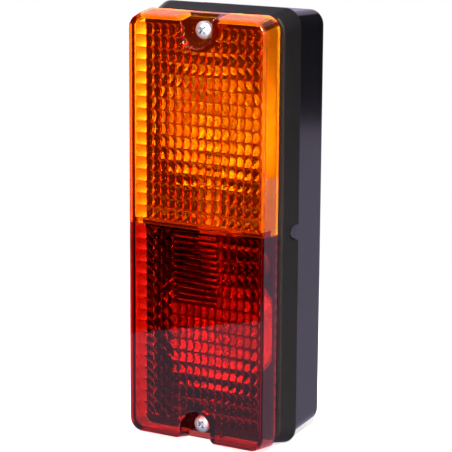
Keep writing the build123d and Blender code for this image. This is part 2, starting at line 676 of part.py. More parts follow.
def contact_carrier():
    """Insulating block between the ears, with a nose into each socket and slots for the contacts."""
    half = CARRIER_WIDTH / 2
    gap = BRACKET_GAP / 2 - FIT
    front = BULB_FORWARD + half
    carrier = block(-half, half, CARRIER_BACK, front, -gap, gap)
    nose = BULB_AXIS * extrude(Circle(EAR_HOLE_RADIUS - FIT), NOSE_FACE)
    carrier += pair(nose)
    low = CONTACT_LAYER - FIT
    high = CONTACT_LAYER + CONTACT_SHEET + FIT
    limb = CONTACT_LIMB / 2 + FIT
    half_tab = TAB_WIDTH / 2 + FIT

    def seat(x, side, tab_forward):
        """Slot for one contact, a little larger than the contact."""
        left, right = sorted((x - side * (CONTACT_PIN_RADIUS + FIT), side * CARRIER_WIDTH))
        slot = block(left, right, tab_forward - half_tab, tab_forward + half_tab, low, high)
        slot += block(x - limb, x + limb, tab_forward, BULB_FORWARD + limb, low, high)
        bore = Circle(CONTACT_PIN_RADIUS + FIT)
        return slot + BULB_AXIS * Pos(x, 0, low) * extrude(bore, LIGHT_HEIGHT)

    carrier -= seat(0, 1, INDICATOR_TAB_FORWARD)
    carrier -= upside_down(seat(CONTACT_SPREAD, 1, STOP_TAIL_TAB_FORWARD))
    return carrier - upside_down(seat(-CONTACT_SPREAD, -1, STOP_TAIL_TAB_FORWARD))


# Bulbs


def bulb_cap(stagger):
    """Bayonet cap with two pins that differ in height by stagger."""
    inner = BULB_CAP_RADIUS - BULB_CAP_WALL
    cap = turned(
        [
            (inner, CAP_FOOT),
            (BULB_CAP_RADIUS, CAP_FOOT),
            (BULB_CAP_RADIUS, CAP_TOP),
            (inner, CAP_TOP),
        ]
    )
    for side, lift in ((1, 0), (-1, stagger)):
        pin = Rot(0, 90, 0) * Cylinder(BULB_PIN_RADIUS, BULB_CAP_WALL + BULB_PIN_REACH)
        reach = inner + (BULB_CAP_WALL + BULB_PIN_REACH) / 2
        cap += Pos(side * reach, 0, PIN_HEIGHT + lift) * pin
    cap -= Pos(0, 0, CAP_FOOT) * extrude(Circle(inner), BULB_CAP_LENGTH)
    return BULB_AXIS * cap


def bulb_insulator(places):
    """Base glass of a cap, with a solder contact at each given place."""
    nose = PAD_FACE + BULB_CONTACT_HEIGHT
    body = turned(
        [
            (0, nose),
            (BULB_NOSE_RADIUS, nose),
            (BULB_CAP_RADIUS - BULB_CAP_WALL - FIT, CAP_FOOT),
            (BULB_CAP_RADIUS - BULB_CAP_WALL - FIT, CAP_FOOT + BULB_INSULATOR_DEPTH),
            (0, CAP_FOOT + BULB_INSULATOR_DEPTH),
        ]
    )
    for x in places:
        body += Pos(x, 0, PAD_FACE) * extrude(Circle(BULB_CONTACT_RADIUS), BULB_CONTACT_HEIGHT)
    return BULB_AXIS * body


def bulb_glass():
    """Pear-shaped clear envelope with its neck in the cap and a stem inside."""
    neck = BULB_CAP_RADIUS - BULB_CAP_WALL - FIT
    foot = CAP_TOP - BULB_NECK_ENTRY
    shoulder = foot + BULB_NECK_LENGTH
    wall = BULB_GLASS_WALL
    stem_end = foot + BULB_STEM_LENGTH

    def pear(radius, start):
        """Half outline of a pear round the light centre, from its neck to its pole."""
        rise = [(neck - (BULB_GLASS_RADIUS - radius), start)]
        rise.append((neck - (BULB_GLASS_RADIUS - radius), shoulder))
        for angle in steps(BULB_SHOULDER_ANGLE, 90, BULB_RINGS)[:-1]:
            turn = radians(angle)
            rise.append((radius * cos(turn), LIGHT_HEIGHT + radius * sin(turn)))
        return rise + [(0, LIGHT_HEIGHT + radius)]

    floor = foot + BULB_STEM_FOOT
    inside = pear(BULB_GLASS_RADIUS - wall, floor)
    core = [(BULB_STEM_RADIUS, floor), (BULB_STEM_RADIUS, stem_end), (0, stem_end)]
    section = [(0, foot)] + pear(BULB_GLASS_RADIUS, foot) + inside[::-1] + core
    return BULB_AXIS * turned(section)


def filament(forward):
    """Coil between two lead wires that stand on the stem."""
    stem_end = CAP_TOP - BULB_NECK_ENTRY + BULB_STEM_LENGTH
    half = FILAMENT_SPAN / 2
    coil = Plane((-half, 0, LIGHT_HEIGHT), z_dir=(1, 0, 0)) * RegularPolygon(FILAMENT_RADIUS, 6)
    coil = extrude(coil, FILAMENT_SPAN)
    for side in (-1, 1):
        lead = extrude(Rectangle(2 * LEAD_RADIUS, 2 * LEAD_RADIUS), LIGHT_HEIGHT - stem_end)
        coil += Pos(side * (half - LEAD_RADIUS), 0, stem_end) * lead
    return BULB_AXIS * Pos(0, -forward, 0) * coil


def main():
    """Build every piece and write it to its own file."""
    amber_lens, red_lens = lens_halves()
    indicator_contact, stop_contact, tail_contact = contacts()
    main_and_tail = filament(0) + filament(TAIL_FILAMENT_OFFSET)
    stop_tail_places = (-CONTACT_SPREAD, CONTACT_SPREAD)
    pieces = {
        "amber_lens": amber_lens,
        "red_lens": red_lens,
        "lens_screws": lens_screws(),
        "rim_gasket": rim_gasket(),
        "rear_housing": rear_housing(),
        "mounting_studs": mounting_studs(),
        "cable_grommet": cable_grommet(),
        "indicator_reflector": reflector(),
        "stop_tail_reflector": upside_down(reflector()),
        "reflector_screws": reflector_screws(),
        "chamber_divider": chamber_divider(),
        "holder_bracket": holder_bracket(),
        "bracket_screws": bracket_screws(),
        "contact_carrier": contact_carrier(),
        "indicator_contact": indicator_contact,
        "stop_contact": stop_contact,
        "tail_contact": tail_contact,
        "indicator_socket": socket(0),
        "stop_tail_socket": upside_down(socket(BULB_PIN_STAGGER)),
        "indicator_bulb_cap": bulb_cap(0),
        "indicator_bulb_insulator": bulb_insulator((0,)),
        "indicator_bulb_glass": bulb_glass(),
        "indicator_bulb_filament": filament(0),
        "stop_tail_bulb_cap": upside_down(bulb_cap(BULB_PIN_STAGGER)),
        "stop_tail_bulb_insulator": upside_down(bulb_insulator(stop_tail_places)),
        "stop_tail_bulb_glass": upside_down(bulb_glass()),
        "stop_tail_bulb_filaments": upside_down(main_and_tail),
    }
    os.makedirs("parts", exist_ok=True)
    for name, piece in pieces.items():
        export_step(piece, f"parts/{name}.step")


main()
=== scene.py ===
import logging
from dataclasses import dataclass, field
from enum import Enum
from math import atan2, ceil, cos, hypot, pi, radians, sin, tan
from typing import Callable, Sequence

import bmesh
import bpy
from bmesh.types import BMEdge, BMesh, BMVert
from bpy.types import Material, Node, NodeTree, Object
from mathutils import Matrix, Vector


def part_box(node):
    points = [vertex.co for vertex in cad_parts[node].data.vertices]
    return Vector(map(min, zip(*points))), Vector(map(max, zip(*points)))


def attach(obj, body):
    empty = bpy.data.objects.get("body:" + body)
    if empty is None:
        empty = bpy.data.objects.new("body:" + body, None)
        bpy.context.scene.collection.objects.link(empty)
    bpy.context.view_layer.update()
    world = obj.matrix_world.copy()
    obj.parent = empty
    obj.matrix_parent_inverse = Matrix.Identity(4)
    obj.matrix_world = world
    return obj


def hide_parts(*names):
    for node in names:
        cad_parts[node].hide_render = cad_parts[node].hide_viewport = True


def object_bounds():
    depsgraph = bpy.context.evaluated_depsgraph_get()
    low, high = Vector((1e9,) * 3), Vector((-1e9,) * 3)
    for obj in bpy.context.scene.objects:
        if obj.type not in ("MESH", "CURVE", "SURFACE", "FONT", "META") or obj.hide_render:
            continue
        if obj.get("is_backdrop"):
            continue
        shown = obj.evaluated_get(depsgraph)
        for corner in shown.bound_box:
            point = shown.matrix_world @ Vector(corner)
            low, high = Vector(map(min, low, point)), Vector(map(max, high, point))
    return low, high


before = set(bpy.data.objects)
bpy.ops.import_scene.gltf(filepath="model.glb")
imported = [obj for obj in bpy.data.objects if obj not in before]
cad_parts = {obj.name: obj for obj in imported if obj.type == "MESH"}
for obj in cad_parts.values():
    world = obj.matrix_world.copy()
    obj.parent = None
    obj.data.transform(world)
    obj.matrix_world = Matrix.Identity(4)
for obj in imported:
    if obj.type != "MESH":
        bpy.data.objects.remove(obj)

log = logging.getLogger("rear_lamp")

MM = 0.001
NEAR = 1e-5
BODY = "root"
FROST = "frost"
HEXAGON = 6
SMOOTH = radians(32)
MIRROR_UP = Matrix.Scale(-1, 4, (0, 0, 1))

# Vertices of a turned piece that are this close become one, such as those on its axis.
POLE_MERGE = 2.5 * NEAR
# Cosines above which an edge or face counts as aligned with an axis, and a face as square to it.
ALIGNED, SQUARE = 0.9, 0.99
# Shares of a thread's pitch where its crest starts and ends.
CREST_START, CREST_END = 0.4, 0.6
# Colour sockets of a mix node, which share their names with its other sockets.
MIX_A, MIX_B, MIX_RESULT = 6, 7, 2

Profile = Sequence[tuple[float, float]]


class Axis(Enum):
    """Direction in which a turned piece points."""

    FORWARD = Matrix.Rotation(pi / 2, 4, "X")
    UP = Matrix.Identity(4)


class Cut(Enum):
    """How one solid changes another."""

    TAKE = "DIFFERENCE"
    ADD = "UNION"


class Half(Enum):
    """Upper or lower half of the lamp."""

    UPPER = 1
    LOWER = -1


class Bench:
    """Hand tools that work on one object at a time through Blender's operators."""

    @staticmethod
    def clear() -> None:
        """Leave edit mode and deselect everything."""
        if bpy.context.object is not None and bpy.context.object.mode != "OBJECT":
            Bench.leave()
        bpy.ops.object.select_all(action="DESELECT")

    @staticmethod
    def leave() -> None:
        """Go back to object mode."""
        bpy.ops.object.mode_set(mode="OBJECT")

    @staticmethod
    def take(obj: Object) -> None:
        """Select one object alone and make it active.

        Args:
            obj: the object to select.
        """
        Bench.clear()
        obj.select_set(True)
        bpy.context.view_layer.objects.active = obj

    @staticmethod
    def open(obj: Object, whole: bool = False) -> BMesh:
        """Enter edit mode on one object with nothing selected, or with all of it.

        Args:
            obj: the mesh to work on.
            whole: whether the whole mesh is selected.

        Returns:
            The mesh being edited.
        """
        Bench.take(obj)
        bpy.ops.object.mode_set(mode="EDIT")
        bpy.ops.mesh.select_mode(type="VERT")
        bpy.ops.mesh.select_all(action="SELECT" if whole else "DESELECT")
        return bmesh.from_edit_mesh(obj.data)

    @staticmethod
    def pick_verts(obj: Object, test: Callable[[BMVert], bool]) -> None:
        """Enter edit mode with only some vertices selected.

        Args:
            obj: the mesh to work on.
            test: tells whether a vertex is selected.
        """
        mesh = Bench.open(obj)
        for vert in mesh.verts:
            vert.select = test(vert)
        mesh.select_flush_mode()
        bmesh.update_edit_mesh(obj.data)

    @staticmethod
    def pick_edges(obj: Object, test: Callable[[BMEdge], bool]) -> None:
        """Enter edit mode with only some edges selected.

        Args:
            obj: the mesh to work on.
            test: tells whether an edge is selected.
        """
        Bench.open(obj)
        bpy.ops.mesh.select_mode(type="EDGE")
        mesh = bmesh.from_edit_mesh(obj.data)
        for edge in mesh.edges:
            edge.select = test(edge)
        mesh.select_flush_mode()
        bmesh.update_edit_mesh(obj.data)

    @staticmethod
    def close(obj: Object, merge: float = NEAR / 10) -> Object:
        """Merge doubles, turn the faces outwards and leave edit mode.

        Args:
            obj: the mesh that is done.
            merge: distance within which vertices become one.

        Returns:
            The same object.
        """
        Bench.open(obj, whole=True)
        bpy.ops.mesh.remove_doubles(threshold=merge)
        bpy.ops.mesh.normals_make_consistent(inside=False)
        Bench.leave()
        return obj

    @staticmethod
    def settle(obj: Object) -> Object:
        """Put an object's place, turn and size into its mesh.

        Args:
            obj: the object to settle.

        Returns:
            The same object.
        """
        Bench.take(obj)
        bpy.ops.object.transform_apply(location=True, rotation=True, scale=True)
        return obj

    @staticmethod
    def apply(obj: Object, kind: str, **settings: object) -> None:
        """Add a modifier and apply it.

        Args:
            obj: the object to change.
            kind: type of the modifier.
            settings: properties of the modifier.
        """
        Bench.take(obj)
        modifier = obj.modifiers.new(kind, kind)
        for name, value in settings.items():
            setattr(modifier, name, value)
        bpy.ops.object.modifier_apply(modifier=modifier.name)

    @staticmethod
    def carve(obj: Object, tool: Object, cut: Cut) -> None:
        """Cut a tool out of a solid, or add it, and throw the tool away."""
        Bench.apply(obj, "BOOLEAN", object=tool, operation=cut.value, solver="EXACT")
        bpy.data.objects.remove(tool)

    @staticmethod
    def copy(obj: Object, name: str, turn: Matrix | None = None) -> Object:
        """Copy an object with its own mesh.

        Args:
            obj: the object to copy.
            name: name of the copy.
            turn: change of place of the copy, put into its mesh.

        Returns:
            The copy.
        """
        twin = bpy.data.objects.new(name, obj.data.copy())
        bpy.context.scene.collection.objects.link(twin)
        if turn is not None:
            twin.data.transform(turn)
            Bench.close(twin)
        return twin

    @staticmethod
    def join(name: str, parts: Sequence[Object]) -> Object:
        """Join several objects into the first.

        Args:
            name: name of the joined object.
            parts: the objects to join.

        Returns:
            The joined object.
        """
        Bench.take(parts[0])
        for part in parts:
            part.select_set(True)
        bpy.ops.object.join()
        parts[0].name = name
        return parts[0]

    @staticmethod
    def block(name: str, low: Sequence[float], high: Sequence[float]) -> Object:
        """Make a plain block between two corners, as a start for a piece or a tool.

        Args:
            name: name of the block.
            low: lowest corner.
            high: highest corner.

        Returns:
            The block.
        """
        Bench.clear()
        low, high = Vector(low), Vector(high)
        bpy.ops.mesh.primitive_cube_add(size=1, location=(low + high) / 2)
        obj = bpy.context.object
        obj.name = name
        obj.scale = high - low
        return Bench.settle(obj)

    @staticmethod
    def round_edges(
        obj: Object, radius: float, segments: int, test: Callable[[BMEdge], bool]
    ) -> None:
        """Round some edges.

        Args:
            obj: the mesh to work on.
            radius: radius of the rounding.
            segments: facets across the rounding.
            test: tells whether an edge is rounded.
        """
        Bench.pick_edges(obj, test)
        bpy.ops.mesh.bevel(
            offset=radius, offset_type="OFFSET", segments=segments, affect="EDGES", clamp_overlap=False
        )
        Bench.close(obj)

    @staticmethod
    def along_depth(edge: BMEdge) -> bool:
        """Tell whether an edge runs along Y."""
        run = edge.verts[1].co - edge.verts[0].co
        return abs(run.y) > ALIGNED * run.length

    @staticmethod
    def at_depth(edge: BMEdge, place: float) -> bool:
        """Tell whether both ends of an edge lie at a place along Y."""
        return all(abs(vert.co.y - place) < NEAR for vert in edge.verts)

    @staticmethod
    def slab(
        name: str, half: Sequence[float], corner: float, front: float, back: float, sides: int
    ) -> Object:
        """Make a block across the lamp with round corners.

        Args:
            name: name of the block.
            half: half its width and half its height.
            corner: radius of its corners.
            front: front end along Y.
            back: back end along Y.
            sides: facets of each corner.

        Returns:
            The block.
        """
        obj = Bench.block(name, (-half[0], front, -half[1]), (half[0], back, half[1]))
        Bench.round_edges(obj, corner, sides, Bench.along_depth)
        return obj

    @staticmethod
    def spread(obj: Object, place: float, half: Sequence[float], growth: Sequence[float]) -> None:
        """Widen one end of a slab, to give it draft.

        Args:
            obj: the slab.
            place: place of that end along Y.
            half: half the end's width and half its height.
            growth: what each half gains.
        """
        Bench.pick_verts(obj, lambda vert: abs(vert.co.y - place) < NEAR)
        value = (1 + growth[0] / half[0], 1, 1 + growth[1] / half[1])
        bpy.ops.transform.resize(value=value, center_override=(0, place, 0))
        Bench.leave()

    @staticmethod
    def tongue(name: str, width: float, nose: float, foot: float, reach: float, sides: int) -> Object:
        """Make a round-nosed bar across the lamp at mid-height.

        Args:
            name: name of the bar.
            width: its height across the nose.
            nose: place of the nose along Y.
            foot: place of the square end along Y.
            reach: half its length along X.
            sides: facets of each rounded corner.

        Returns:
            The bar.
        """
        half = width / 2

        def nose_edge(edge: BMEdge) -> bool:
            """Tell whether an edge runs along the nose."""
            return Bench.at_depth(edge, nose) and abs(edge.verts[0].co.x - edge.verts[1].co.x) > reach

        obj = Bench.block(name, (-reach, nose, -half), (reach, foot, half))
        Bench.round_edges(obj, half - NEAR, sides, nose_edge)
        return obj

    @staticmethod
    def smooth(obj: Object, angle: float) -> None:
        """Shade a piece smooth, with flat faces kept flat.

        Args:
            obj: the piece.
            angle: greatest angle between faces that are shaded as one.
        """
        Bench.take(obj)
        bpy.ops.object.shade_smooth_by_angle(angle=angle)
        Bench.apply(obj, "WEIGHTED_NORMAL", keep_sharp=True, weight=100)

    @staticmethod
    def lathe(name: str, profile: Profile, axis: Axis, centre: Sequence[float], sides: int) -> Object:
        """Turn a closed half section about an axis, ring after ring.

        Args:
            name: name of the piece.
            profile: radius and height of each ring, in order round the section.
            axis: direction of increasing height.
            centre: point on the axis at height nought.
            sides: number of sides of each ring.

        Returns:
            The turned piece.
        """
        Bench.clear()
        radius, height = profile[0]
        bpy.ops.mesh.primitive_circle_add(vertices=sides, radius=1, location=(0, 0, height))
        obj = bpy.context.object
        obj.name = name
        obj.scale = (max(radius, NEAR), max(radius, NEAR), 1)
        Bench.settle(obj)
        Bench.open(obj, whole=True)
        for near, far in zip(profile, profile[1:]):
            grow = max(far[0], NEAR) / max(near[0], NEAR)
            bpy.ops.mesh.extrude_region_move(TRANSFORM_OT_translate={"value": (0, 0, far[1] - near[1])})
            bpy.ops.transform.resize(value=(grow, grow, 1), center_override=(0, 0, far[1]))
        Bench.leave()
        if profile[0][0] > NEAR or profile[-1][0] > NEAR:
            Bench.pick_edges(obj, lambda edge: edge.is_boundary)
            bpy.ops.mesh.bridge_edge_loops()
        Bench.close(obj, POLE_MERGE)
        obj.data.transform(Matrix.Translation(centre) @ axis.value)
        return obj

    @staticmethod
    def bar(
        name: str, radius: float, ends: tuple[float, float], axis: Axis, centre: Sequence[float], sides: int
    ) -> Object:
        """Turn a plain round bar."""
        low, high = ends
        return Bench.lathe(name, [(0, low), (radius, low), (radius, high), (0, high)], axis, centre, sides)

    @staticmethod
    def spin(obj: Object, centre: Sequence[float], angle: float) -> None:
        """Turn an object's mesh about a line along Y."""
        place = Matrix.Translation(centre)
        obj.data.transform(place @ Matrix.Rotation(angle, 4, "Y") @ place.inverted())


@dataclass
class Span:
    """Box of a CAD node in the row frame, in metres."""

    low: Vector
    high: Vector

    @classmethod
    def of(cls, node: str) -> "Span":
        """Read the box of one node."""
        low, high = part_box(node)
        return cls(Vector(low), Vector(high))

    @property
    def size(self) -> Vector:
        """Length of each side."""
        return self.high - self.low

    @property
    def middle(self) -> Vector:
        """Centre of the box."""
        return (self.low + self.high) / 2


def box_of(node: str) -> Span:
    """Give a dataclass field that reads the box of one node."""
    return field(default_factory=lambda: Span.of(node))


class Sheet:
    """Short way to fill a node tree."""

    def __init__(self, tree: NodeTree) -> None:
        """Start on an empty tree."""
        self.tree = tree
        tree.nodes.clear()

    @classmethod
    def of_material(cls, name: str) -> tuple[Material, "Sheet"]:
        """Start a new material.

        Args:
            name: name of the material.

        Returns:
            The material and its empty sheet.
        """
        material = bpy.data.materials.new(name)
        material.use_nodes = True
        return material, cls(material.node_tree)

    def add(self, kind: str, **settings: object) -> Node:
        """Add a node and set its properties.

        Args:
            kind: type of the node.
            settings: properties of the node, or input values by socket name.

        Returns:
            The node.
        """
        node = self.tree.nodes.new(kind)
        for name, value in settings.items():
            if name in node.inputs.keys():
                node.inputs[name].default_value = value
            else:
                setattr(node, name, value)
        return node

    def wire(self, *links: tuple[Node, str | int, Node, str | int]) -> None:
        """Join nodes, each link given as a node, its output, the next node and its input."""
        for start, leaving, end, entering in links:
            self.tree.links.new(start.outputs[leaving], end.inputs[entering])


class Effects:
    """Shared surface effects, each a node group that is built once."""

    GRAIN = "Moulded grain"
    DRIFT = "Colour drift"
    RUB = "Rubbed marks"
    COARSE_STEP = 0.35
    SMEAR_STRETCH = (1.0, 1.0, 0.35)

    def __init__(self) -> None:
        """Build every group."""
        self.grain = self._grain()
        self.drift = self._drift()
        self.rub = self._rub()

    @staticmethod
    def _group(
        name: str, inputs: Sequence[tuple[str, str, object]], outputs: Sequence[tuple[str, str]]
    ) -> Sheet:
        """Start a group with named sockets.

        Args:
            name: name of the group.
            inputs: name, socket type and default of each input.
            outputs: name and socket type of each output.

        Returns:
            The sheet of the new group.
        """
        tree = bpy.data.node_groups.new(name, "ShaderNodeTree")
        for label, kind, default in inputs:
            socket = tree.interface.new_socket(name=label, in_out="INPUT", socket_type=kind)
            socket.default_value = default
        for label, kind in outputs:
            tree.interface.new_socket(name=label, in_out="OUTPUT", socket_type=kind)
        return Sheet(tree)

    def _grain(self) -> NodeTree:
        """Build the fine height grain of a moulded skin.

        Returns:
            The group.
        """
        sheet = self._group(
            self.GRAIN,
            [("Scale", "NodeSocketFloat", 2000.0), ("Coarse Share", "NodeSocketFloat", 0.3)],
            [("Height", "NodeSocketFloat")],
        )
        enter, leave = sheet.add("NodeGroupInput"), sheet.add("NodeGroupOutput")
        place = sheet.add("ShaderNodeTexCoord")
        fine = sheet.add("ShaderNodeTexNoise", Detail=3.0, Roughness=0.6)
        coarse = sheet.add("ShaderNodeTexVoronoi", feature="SMOOTH_F1", Smoothness=0.6)
        step = sheet.add("ShaderNodeMath", operation="MULTIPLY")
        step.inputs[1].default_value = self.COARSE_STEP
        blend = sheet.add("ShaderNodeMix")
        sheet.wire(
            (place, "Object", fine, "Vector"),
            (place, "Object", coarse, "Vector"),
            (enter, "Scale", fine, "Scale"),
            (enter, "Scale", step, 0),
            (step, 0, coarse, "Scale"),
            (enter, "Coarse Share", blend, "Factor"),
            (fine, "Fac", blend, "A"),
            (coarse, "Distance", blend, "B"),
            (blend, "Result", leave, "Height"),
        )
        return sheet.tree

    def _drift(self) -> NodeTree:
        """Build the slow change of a colour over a surface.

        Returns:
            The group.
        """
        sheet = self._group(
            self.DRIFT,
            [
                ("Colour", "NodeSocketColor", (0.5, 0.5, 0.5, 1)),
                ("Other", "NodeSocketColor", (0.4, 0.4, 0.4, 1)),
                ("Scale", "NodeSocketFloat", 40.0),
                ("Amount", "NodeSocketFloat", 0.5),
            ],
            [("Colour", "NodeSocketColor")],
        )
        enter, leave = sheet.add("NodeGroupInput"), sheet.add("NodeGroupOutput")
        place = sheet.add("ShaderNodeTexCoord")
        cloud = sheet.add("ShaderNodeTexNoise", Detail=4.0, Roughness=0.55)
        share = sheet.add("ShaderNodeMath", operation="MULTIPLY")
        blend = sheet.add("ShaderNodeMix", data_type="RGBA")
        sheet.wire(
            (place, "Object", cloud, "Vector"),
            (enter, "Scale", cloud, "Scale"),
            (cloud, "Fac", share, 0),
            (enter, "Amount", share, 1),
            (share, 0, blend, "Factor"),
            (enter, "Colour", blend, MIX_A),
            (enter, "Other", blend, MIX_B),
            (blend, MIX_RESULT, leave, "Colour"),
        )
        return sheet.tree

    def _rub(self) -> NodeTree:
        """Build the roughness of a handled surface, with faint smears.

        Returns:
            The group.
        """
        sheet = self._group(
            self.RUB,
            [
                ("Roughness", "NodeSocketFloat", 0.3),
                ("Smear", "NodeSocketFloat", 0.1),
                ("Scale", "NodeSocketFloat", 60.0),
            ],
            [("Roughness", "NodeSocketFloat")],
        )
        enter, leave = sheet.add("NodeGroupInput"), sheet.add("NodeGroupOutput")
        place = sheet.add("ShaderNodeTexCoord")
        stretch = sheet.add("ShaderNodeMapping", Scale=self.SMEAR_STRETCH)
        cloud = sheet.add("ShaderNodeTexNoise", Detail=6.0, Roughness=0.7)
        span = sheet.add("ShaderNodeMath", operation="MULTIPLY_ADD")
        sheet.wire(
            (place, "Object", stretch, "Vector"),
            (stretch, "Vector", cloud, "Vector"),
            (enter, "Scale", cloud, "Scale"),
            (cloud, "Fac", span, 0),
            (enter, "Smear", span, 1),
            (enter, "Roughness", span, 2),
            (span, 0, leave, "Roughness"),
        )
        return sheet.tree

    @staticmethod
    def place(sheet: Sheet, group: NodeTree, **values: object) -> Node:
        """Put a group into a material with its own values.

        Args:
            sheet: sheet of the material.
            group: the group to use.
            values: input values, with spaces of a socket name as underscores.

        Returns:
            The group node.
        """
        node = sheet.add("ShaderNodeGroup", node_tree=group)
        for name, value in values.items():
            node.inputs[name.replace("_", " ")].default_value = value
        return node

    def tint(self, sheet: Sheet, finish: "Skin | Clear") -> Node:
        """Put the colour drift of a finish into its material."""
        colours = {"Colour": finish.colour.rgba, "Other": finish.other.rgba}
        return self.place(sheet, self.drift, **colours, Scale=finish.drift_scale, Amount=1.0)


@dataclass(frozen=True)
class Colour:
    """Linear colour."""

    red: float
    green: float
    blue: float

    @property
    def rgba(self) -> tuple[float, float, float, float]:
        """The colour with full alpha."""
        return (self.red, self.green, self.blue, 1.0)


@dataclass(frozen=True)
class Skin:
    """Opaque finish: moulded plastic, rubber or metal with grain, colour drift and smears."""

    name: str
    colour: Colour
    other: Colour
    roughness: float
    metallic: float = 0.0
    smear: float = 0.1
    smear_scale: float = 60.0
    drift_scale: float = 40.0
    grain_scale: float = 2500.0
    grain_depth: float = 0.02 * MM
    coarse_share: float = 0.3
    specular: float = 0.5

    @classmethod
    def metal(
        cls, name: str, colour: Colour, other: Colour, roughness: float, grain: float = 0.004 * MM
    ) -> "Skin":
        """Give the finish of a bare or plated metal."""
        return cls(name, colour, other, roughness, metallic=1.0, grain_depth=grain)

    def make(self, effects: Effects) -> Material:
        """Build the material.

        Args:
            effects: the shared effect groups.

        Returns:
            The material.
        """
        material, sheet = Sheet.of_material(self.name)
        out = sheet.add("ShaderNodeOutputMaterial")
        shader = sheet.add("ShaderNodeBsdfPrincipled", Metallic=self.metallic)
        shader.inputs["Specular IOR Level"].default_value = self.specular
        drift = effects.tint(sheet, self)
        rub = Effects.place(
            sheet,
            effects.rub,
            Roughness=self.roughness - self.smear / 2,
            Smear=self.smear,
            Scale=self.smear_scale,
        )
        grain = Effects.place(sheet, effects.grain, Scale=self.grain_scale, Coarse_Share=self.coarse_share)
        bump = sheet.add("ShaderNodeBump", Distance=self.grain_depth, Strength=1.0)
        sheet.wire(
            (drift, "Colour", shader, "Base Color"),
            (rub, "Roughness", shader, "Roughness"),
            (grain, "Height", bump, "Height"),
            (bump, "Normal", shader, "Normal"),
            (shader, "BSDF", out, "Surface"),
        )
        return material


@dataclass(frozen=True)
class Clear:
    """See-through finish that refracts, lets the lamps light what lies behind it, and can carry a painted
    glow.
    """

    name: str
    colour: Colour
    other: Colour
    depth_colour: Colour
    density: float
    roughness: float = 0.02
    frosted: float = 0.6
    index: float = 1.49
    drift_scale: float = 30.0
    wave_scale: float = 180.0
    wave_depth: float = 0.004 * MM
    # Emission colour of a painted glow, standing in for light carried inside the acrylic; black gives none.
    glow: Colour = Colour(0.0, 0.0, 0.0)

    def make(self, effects: Effects) -> Material:
        """Build the material.

        Args:
            effects: the shared effect groups.

        Returns:
            The material.
        """
        material, sheet = Sheet.of_material(self.name)
        out = sheet.add("ShaderNodeOutputMaterial")
        shader = sheet.add("ShaderNodeBsdfPrincipled", IOR=self.index)
        frost = sheet.add("ShaderNodeAttribute", attribute_name=FROST)
        matt = sheet.add("ShaderNodeMath", operation="MULTIPLY_ADD")
        matt.inputs[1].default_value = self.frosted
        matt.inputs[2].default_value = self.roughness
        shader.inputs["Transmission Weight"].default_value = 1.0
        # Painted glow: the finish emits its glow colour, though it is no lamp.
        shader.inputs["Emission Color"].default_value = self.glow.rgba
        shader.inputs["Emission Strength"].default_value = 1.0
        drift = effects.tint(sheet, self)
        grain = Effects.place(sheet, effects.grain, Scale=self.wave_scale, Coarse_Share=0.0)
        bump = sheet.add("ShaderNodeBump", Distance=self.wave_depth, Strength=1.0)
        path = sheet.add("ShaderNodeLightPath")
        shade = sheet.add("ShaderNodeBsdfTransparent", Color=self.colour.rgba)
        depth = sheet.add("ShaderNodeVolumeAbsorption", Color=self.depth_colour.rgba, Density=self.density)
        mix = sheet.add("ShaderNodeMixShader")
        sheet.wire(
            (frost, "Fac", matt, 0),
            (matt, 0, shader, "Roughness"),
            (drift, "Colour", shader, "Base Color"),
            (grain, "Height", bump, "Height"),
            (bump, "Normal", shader, "Normal"),
            (path, "Is Shadow Ray", mix, "Fac"),
            (shader, "BSDF", mix, 1),
            (shade, "BSDF", mix, 2),
            (mix, "Shader", out, "Surface"),
        )
        if self.density:
            sheet.wire((depth, "Volume", out, "Volume"))
        return material


